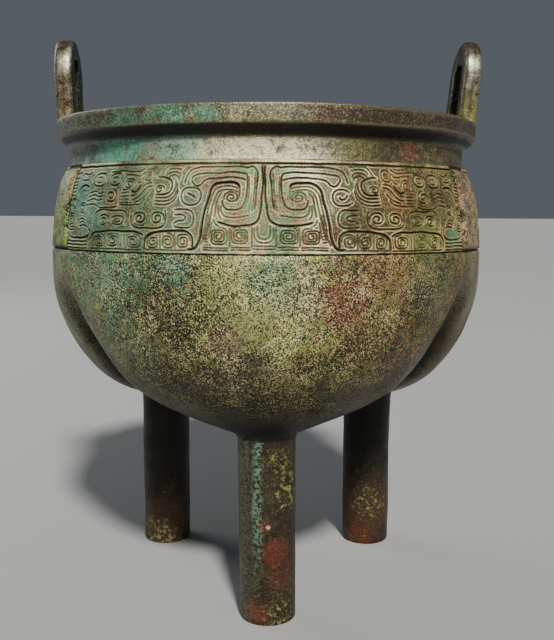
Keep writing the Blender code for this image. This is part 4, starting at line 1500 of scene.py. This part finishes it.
def lip_material():
    """Smoother metal of lip and neck: teal to the left, brown and olive to the right, pale in front with a
    painted highlight in it, darker towards both ends with some painted shade, and painted shade under the
    lip.
    """
    tint = bpy.context.scene.ding_colours
    coat = Patina("lip_patina")
    nodes = coat.nodes
    left = coat.fade(coat.x, -0.01, -0.06)
    right = coat.fade(coat.x, 0.02, 0.06)
    on_neck = coat.fade(coat.z, 0.2082, 0.205)
    on_lip = coat.fade(coat.z, 0.208, 0.21)
    lip_front = coat.both(coat.near(coat.x, 0.002, 0.04, 0.006), coat.facing_front())
    neck_front = coat.both(coat.near(coat.x, -0.01, 0.05, 0.014), coat.facing_front())
    coat.ground(0.009, (0.028, 0.022, 0.011), (0.052, 0.042, 0.018), (0.084, 0.074, 0.032))
    coat.patches(0.012, 0.66, 2.0, (0.056, 0.078, 0.042), 0.8, left)
    coat.patches(0.006, 0.4, 4.0, tint.teal, 0.75, left)
    coat.patches(0.01, 0.46, 6.0, (0.098, 0.06, 0.02), 0.5, right)
    # Pale patches on the front of the lip face and of the neck: partly pale patina, partly a painted
    # highlight, brightest on the neck where the light glints.
    coat.patches(0.008, 0.74, 9.0, (0.34, 0.3, 0.18), 0.66, lip_front, softness=0.14)
    coat.patches(0.005, 0.82, 9.0, (0.8, 0.75, 0.49), 0.88, neck_front, on_neck, softness=0.16)
    coat.patches(0.006, 0.26, 12.0, tint.red, 0.55)
    coat.patches(0.007, 0.26, 15.0, tint.dark, 0.7)
    coat.stains(LIP_STAINS)
    # Darker towards both ends of the lip: partly darker patina, partly painted shade where the lip turns
    # away from the front.
    ends = coat.near(coat.x, -0.002, 0.026, 0.07)
    coat.paint(coat.both(ends, on_lip), (0.032, 0.022, 0.01), 0.7)
    coat.patches(0.0032, 0.36, 21.0, tint.teal, 0.55, nodes.spread(left, 0.0, 1.0, 0.2, 1.0))
    coat.patches(0.003, 0.32, 23.0, (0.15, 0.14, 0.05), 0.55)
    coat.patches(0.0028, 0.3, 25.0, (0.05, 0.024, 0.012), 0.65)
    coat.paint(coat.both(coat.fade(coat.x, 0.012, 0.036), on_lip), (0.032, 0.021, 0.009), 0.75)
    grains = coat.grain(0.0004, 0.58, 0.72)
    coat.paint(grains["Dark Mask"], tint.dark, 0.52)
    flecks = coat.both(nodes.spread(coat.x, 0.05, -0.01, 0.25, 1.0), nodes.spread(left, 0.0, 1.0, 1.0, 0.3))
    coat.paint(coat.both(grains["Pale Mask"], flecks), (0.56, 0.51, 0.28), 0.6)
    roughness = coat.wear(tint.dark, (0.2, 0.165, 0.09), 0.3)
    # Near black on the underside of the lip: painted shade under its overhang.
    under = coat.both(coat.fade(coat.z, 0.2128, 0.2116), coat.fade(coat.z, 0.207, 0.2088))
    coat.paint(under, (0.004, 0.003, 0.002), 0.95)
    return coat.close(roughness, 0.35, coat.height(grains, 0.9, 180.0, 5.0, 1.4), 0.00035)


def frieze_material():
    """Relief: green to the left, pale lands in the middle with a painted highlight in them, golden brown to
    the right, dark grooves, and pale ridges that are partly a painted highlight.
    """
    tint = bpy.context.scene.ding_colours
    coat = Patina("frieze_patina")
    nodes = coat.nodes
    left = coat.fade(coat.x, -0.01, -0.06)
    right = coat.fade(coat.x, 0.02, 0.06)
    front = coat.both(coat.near(coat.x, -0.012, 0.046, 0.018), coat.facing_front())
    coat.ground(0.007, (0.036, 0.027, 0.012), (0.066, 0.055, 0.023), (0.062, 0.084, 0.036), 0.12)
    coat.patches(0.009, 0.56, 2.0, tint.teal, 0.42, left)
    coat.patches(0.012, 0.9, 4.0, (0.074, 0.042, 0.011), 0.86, coat.fade(coat.x, 0.01, 0.045))
    # The pale patch on the front of the frieze is partly pale patina and partly a painted highlight on the
    # band's front.
    coat.patches(0.01, 0.86, 7.0, (0.3, 0.285, 0.135), 0.8, front, softness=0.16)
    coat.patches(0.004, 0.44, 10.0, (0.09, 0.155, 0.045), 0.6)
    coat.patches(0.0048, 0.5, 8.0, (0.11, 0.29, 0.11), 0.72, front)
    coat.patches(0.0042, 0.42, 9.0, (0.33, 0.13, 0.07), 0.7, front)
    coat.patches(0.0034, 0.4, 19.0, (0.06, 0.21, 0.115), 0.6, left)
    coat.patches(0.0034, 0.36, 22.0, (0.12, 0.115, 0.022), 0.6, right)
    coat.patches(0.004, 0.3, 13.0, (0.15, 0.05, 0.024), 0.55)
    coat.patches(0.007, 0.26, 17.0, tint.dark, 0.5)
    coat.stains(FRIEZE_STAINS)
    grains = coat.grain(0.0003, 0.6, 0.72)
    coat.paint(grains["Dark Mask"], tint.dark, 0.55)
    coat.paint(grains["Pale Mask"], (0.46, 0.39, 0.2), 0.42)
    # Pale ridges: partly rubbed metal, partly a painted highlight where the rounded ridges catch the light.
    ridge = nodes.mix(left, (0.86, 0.77, 0.48), (0.47, 0.5, 0.24))
    ridge = nodes.mix(right, ridge, (0.56, 0.39, 0.14))
    roughness = coat.wear((0.02, 0.013, 0.005), ridge, 0.96)
    return coat.close(roughness, 0.25, grains["Height"], 0.00024, 0.4)


def strip_material():
    """Plain strips: pinkish brown to the right, green and ochre to the left."""
    tint = bpy.context.scene.ding_colours
    coat = Patina("strip_patina")
    left = coat.fade(coat.x, 0.0, -0.05)
    coat.ground(0.006, (0.052, 0.04, 0.018), (0.12, 0.088, 0.042), (0.25, 0.185, 0.11), 0.12)
    coat.patches(0.009, 0.6, 3.0, (0.07, 0.076, 0.034), 0.8, coat.fade(coat.y, -0.02, 0.03))
    coat.patches(0.008, 0.95, 4.0, (0.165, 0.29, 0.05), 0.94, left)
    coat.patches(0.0045, 0.5, 5.0, (0.11, 0.32, 0.11), 0.75, left)
    coat.patches(0.0035, 0.36, 8.0, (0.46, 0.33, 0.04), 0.7, left)
    coat.patches(0.004, 0.5, 10.0, (0.46, 0.27, 0.15), 0.8, coat.fade(coat.x, 0.0, 0.05))
    gilt = coat.both(coat.fade(coat.x, -0.086, -0.0835), left)
    coat.patches(0.006, 0.8, 6.0, (0.3, 0.19, 0.07), 0.85, gilt)
    coat.patches(0.006, 0.36, 7.0, tint.gold, 0.4)
    coat.patches(0.004, 0.42, 9.0, (0.02, 0.017, 0.007), 0.9)
    grains = coat.grain(0.0004, 0.64, 0.8)
    coat.paint(grains["Dark Mask"], tint.dark, 0.7)
    coat.paint(grains["Pale Mask"], (0.48, 0.42, 0.25), 0.5)
    roughness = coat.wear(tint.dark, (0.33, 0.27, 0.17), 0.12)
    return coat.close(roughness, 0.1, grains["Height"], 0.0004, 0.2)


def handle_material():
    """Handles rubbed smooth by hands: dark brown metal with ochre and green left low and inside, and painted
    shade on their broad side faces.
    """
    tint = bpy.context.scene.ding_colours
    coat = Patina("handle_patina")
    low = coat.fade(coat.z, 0.25, 0.23)
    coat.ground(0.006, (0.074, 0.058, 0.04), (0.23, 0.2, 0.15), (0.56, 0.53, 0.46))
    coat.patches(0.008, 0.66, 3.0, (0.24, 0.19, 0.06), 0.6, low)
    coat.patches(0.007, 0.5, 6.0, (0.15, 0.066, 0.045), 0.6, low)
    right_foot = (coat.fade(coat.x, 0.0, 0.05), coat.fade(coat.z, 0.238, 0.226))
    coat.patches(0.007, 0.8, 7.0, (0.4, 0.32, 0.09), 0.85, *right_foot)
    coat.patches(0.006, 0.4, 9.0, (0.15, 0.26, 0.12), 0.6)
    coat.paint(coat.fade(coat.z, 0.254, 0.259), (0.09, 0.04, 0.022), 0.85)
    # Nearly black green on all but the outer edge of each handle: painted shade on the broad side faces and
    # in the slot.
    coat.paint(coat.fade(coat.point_value("outer_edge"), 0.7, 0.1), (0.014, 0.02, 0.012), 0.88)
    coat.patches(0.004, 0.3, 12.0, tint.dark, 0.7, coat.fade(coat.z, 0.256, 0.24))
    grains = coat.grain(0.00034, 0.5, 0.56)
    coat.paint(grains["Dark Mask"], tint.dark, 0.55)
    coat.paint(grains["Pale Mask"], (0.42, 0.39, 0.27), 0.45)
    coat.wear(tint.dark, (0.3, 0.27, 0.2), 0.15)
    height = coat.height(grains, 0.4, 140.0, 4.0, 0.8)
    return coat.close(coat.gloss(110.0, 0.3, 0.48), 0.8, height, 0.00025, 0.3)


def plain_material(name, colour, roughness):
    material = bpy.data.materials.new(name)
    material.use_nodes = True
    shader = material.node_tree.nodes["Principled BSDF"]
    shader.inputs["Base Color"].default_value = (*colour, 1.0)
    shader.inputs["Roughness"].default_value = roughness
    return material


class DING_OT_bowl(bpy.types.Operator):
    """Build the lobed bowl with its three legs"""
    bl_idname = "ding.bowl"
    bl_label = "Bowl and legs"

    def execute(self, context):
        piece = build_bowl()
        finish_piece(piece, bowl_material())
        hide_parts(VESSEL)
        return {"FINISHED"}


class DING_OT_lip(bpy.types.Operator):
    """Build the lip and the neck"""
    bl_idname = "ding.lip"
    bl_label = "Lip and neck"

    def execute(self, context):
        piece = build_lip()
        finish_piece(piece, lip_material())
        piece.data.materials.append(bpy.data.materials["bowl_patina"])
        for face in piece.data.polygons:
            x, y, z = face.center
            behind_wall = z < LIP_SLOPE_FOOT - 0.001 and math.hypot(x, y) < BAND_CURVE(z) - 0.6 * WALL
            face.material_index = 1 if behind_wall else 0
        return {"FINISHED"}


class DING_OT_handles(bpy.types.Operator):
    """Build the two upright handles"""
    bl_idname = "ding.handles"
    bl_label = "Handles"

    def execute(self, context):
        material = handle_material()
        for side in HANDLES:
            finish_piece(build_handle(side), material)
        return {"FINISHED"}


class DING_OT_frieze(bpy.types.Operator):
    """Build the three panels of mask relief"""
    bl_idname = "ding.frieze"
    bl_label = "Frieze"

    def execute(self, context):
        material = frieze_material()
        half = 0.5 * STRIP_WIDTH / STRIP_RADIUS
        left = STRIP_AZIMUTHS["left"]
        right = STRIP_AZIMUTHS["right"]
        back = STRIP_AZIMUTHS["back"]
        around = 2.0 * math.pi
        panels = (
            ("frieze_front", left + half, right - half, 0.0),
            ("frieze_right", right + half, back - half, 200.0),
            ("frieze_left", back + half, left + around - half, 400.0),
        )
        for name, start, end, seed in panels:
            finish_piece(build_panel(name, start, end, seed), material)
        return {"FINISHED"}


class DING_OT_strips(bpy.types.Operator):
    """Build the plain strips between the panels"""
    bl_idname = "ding.strips"
    bl_label = "Strips"

    def execute(self, context):
        material = strip_material()
        for side in STRIP_AZIMUTHS:
            finish_piece(build_strip(side), material)
        return {"FINISHED"}


def area_light(name, place, size, power):
    data = bpy.data.lights.new(name, "AREA")
    data.energy = power
    data.size = size
    lamp = bpy.data.objects.new(name, data)
    bpy.context.scene.collection.objects.link(lamp)
    lamp.location = place
    lamp.rotation_euler = (Vector(LIT_POINT) - Vector(place)).to_track_quat("-Z", "Y").to_euler()


class DING_OT_stage(bpy.types.Operator):
    """Set the floor, the lights and the camera"""
    bl_idname = "ding.stage"
    bl_label = "Stage"

    def execute(self, context):
        settings = context.scene.ding_stage
        shape = bmesh.new()
        bmesh.ops.create_grid(shape, x_segments=1, y_segments=1, size=FLOOR_SIZE)
        mesh = bpy.data.meshes.new("floor")
        shape.to_mesh(mesh)
        shape.free()
        floor = add_object("floor", mesh)
        mesh.materials.append(plain_material("pale_floor", settings.floor_colour, 0.9))

        data = bpy.data.lights.new("key", "SUN")
        data.energy = settings.key_power
        data.angle = SUN_ANGLE
        data.color = settings.key_colour
        key = bpy.data.objects.new("key", data)
        context.scene.collection.objects.link(key)
        key.rotation_euler = Vector(SUN_FROM).to_track_quat("Z", "Y").to_euler()
        area_light("fill", FILL_PLACE, FILL_SIZE, settings.fill_power)
        area_light("rim", RIM_PLACE, RIM_SIZE, settings.rim_power)
        world = bpy.data.worlds.new("even_sky")
        context.scene.world = world
        world.use_nodes = True
        sky = world.node_tree.nodes["Background"]
        sky.inputs["Color"].default_value = (*settings.sky_colour, 1.0)
        sky.inputs["Strength"].default_value = settings.sky

        camera = bpy.data.cameras.new("camera")
        camera.sensor_width = SENSOR_WIDTH
        camera.lens = LENS
        eye = bpy.data.objects.new("camera", camera)
        context.scene.collection.objects.link(eye)
        eye.location = EYE
        eye.rotation_euler = (0.5 * math.pi + EYE_PITCH, EYE_ROLL, 0.0)
        context.scene.camera = eye
        return {"FINISHED"}


class DING_PT_sidebar(bpy.types.Panel):
    bl_idname = "DING_PT_sidebar"
    bl_label = "Ding vessel"
    bl_space_type = "VIEW_3D"
    bl_region_type = "UI"
    bl_category = "Ding vessel"

    def draw(self, context):
        scene = context.scene
        for step in STEPS:
            self.layout.operator(step.bl_idname)
        for group in (scene.ding_sizes, scene.ding_relief, scene.ding_colours, scene.ding_stage):
            box = self.layout.box()
            for name in group.__annotations__:
                box.prop(group, name)


STEPS = (DING_OT_bowl, DING_OT_lip, DING_OT_handles, DING_OT_frieze, DING_OT_strips, DING_OT_stage)
SETTINGS = {
    "ding_sizes": VesselSizes,
    "ding_relief": ReliefSizes,
    "ding_colours": PatinaColours,
    "ding_stage": StageSettings,
}


def register():
    for name, group in SETTINGS.items():
        bpy.utils.register_class(group)
        setattr(bpy.types.Scene, name, PointerProperty(type=group))
    for step in (*STEPS, DING_PT_sidebar):
        bpy.utils.register_class(step)


def unregister():
    for step in (DING_PT_sidebar, *STEPS[::-1]):
        bpy.utils.unregister_class(step)
    for name, group in SETTINGS.items():
        delattr(bpy.types.Scene, name)
        bpy.utils.unregister_class(group)


def main():
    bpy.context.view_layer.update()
    register()
    bpy.ops.ding.bowl()
    bpy.ops.ding.lip()
    bpy.ops.ding.handles()
    bpy.ops.ding.frieze()
    bpy.ops.ding.strips()
    bpy.ops.ding.stage()


if __name__ == "__main__":
    main()
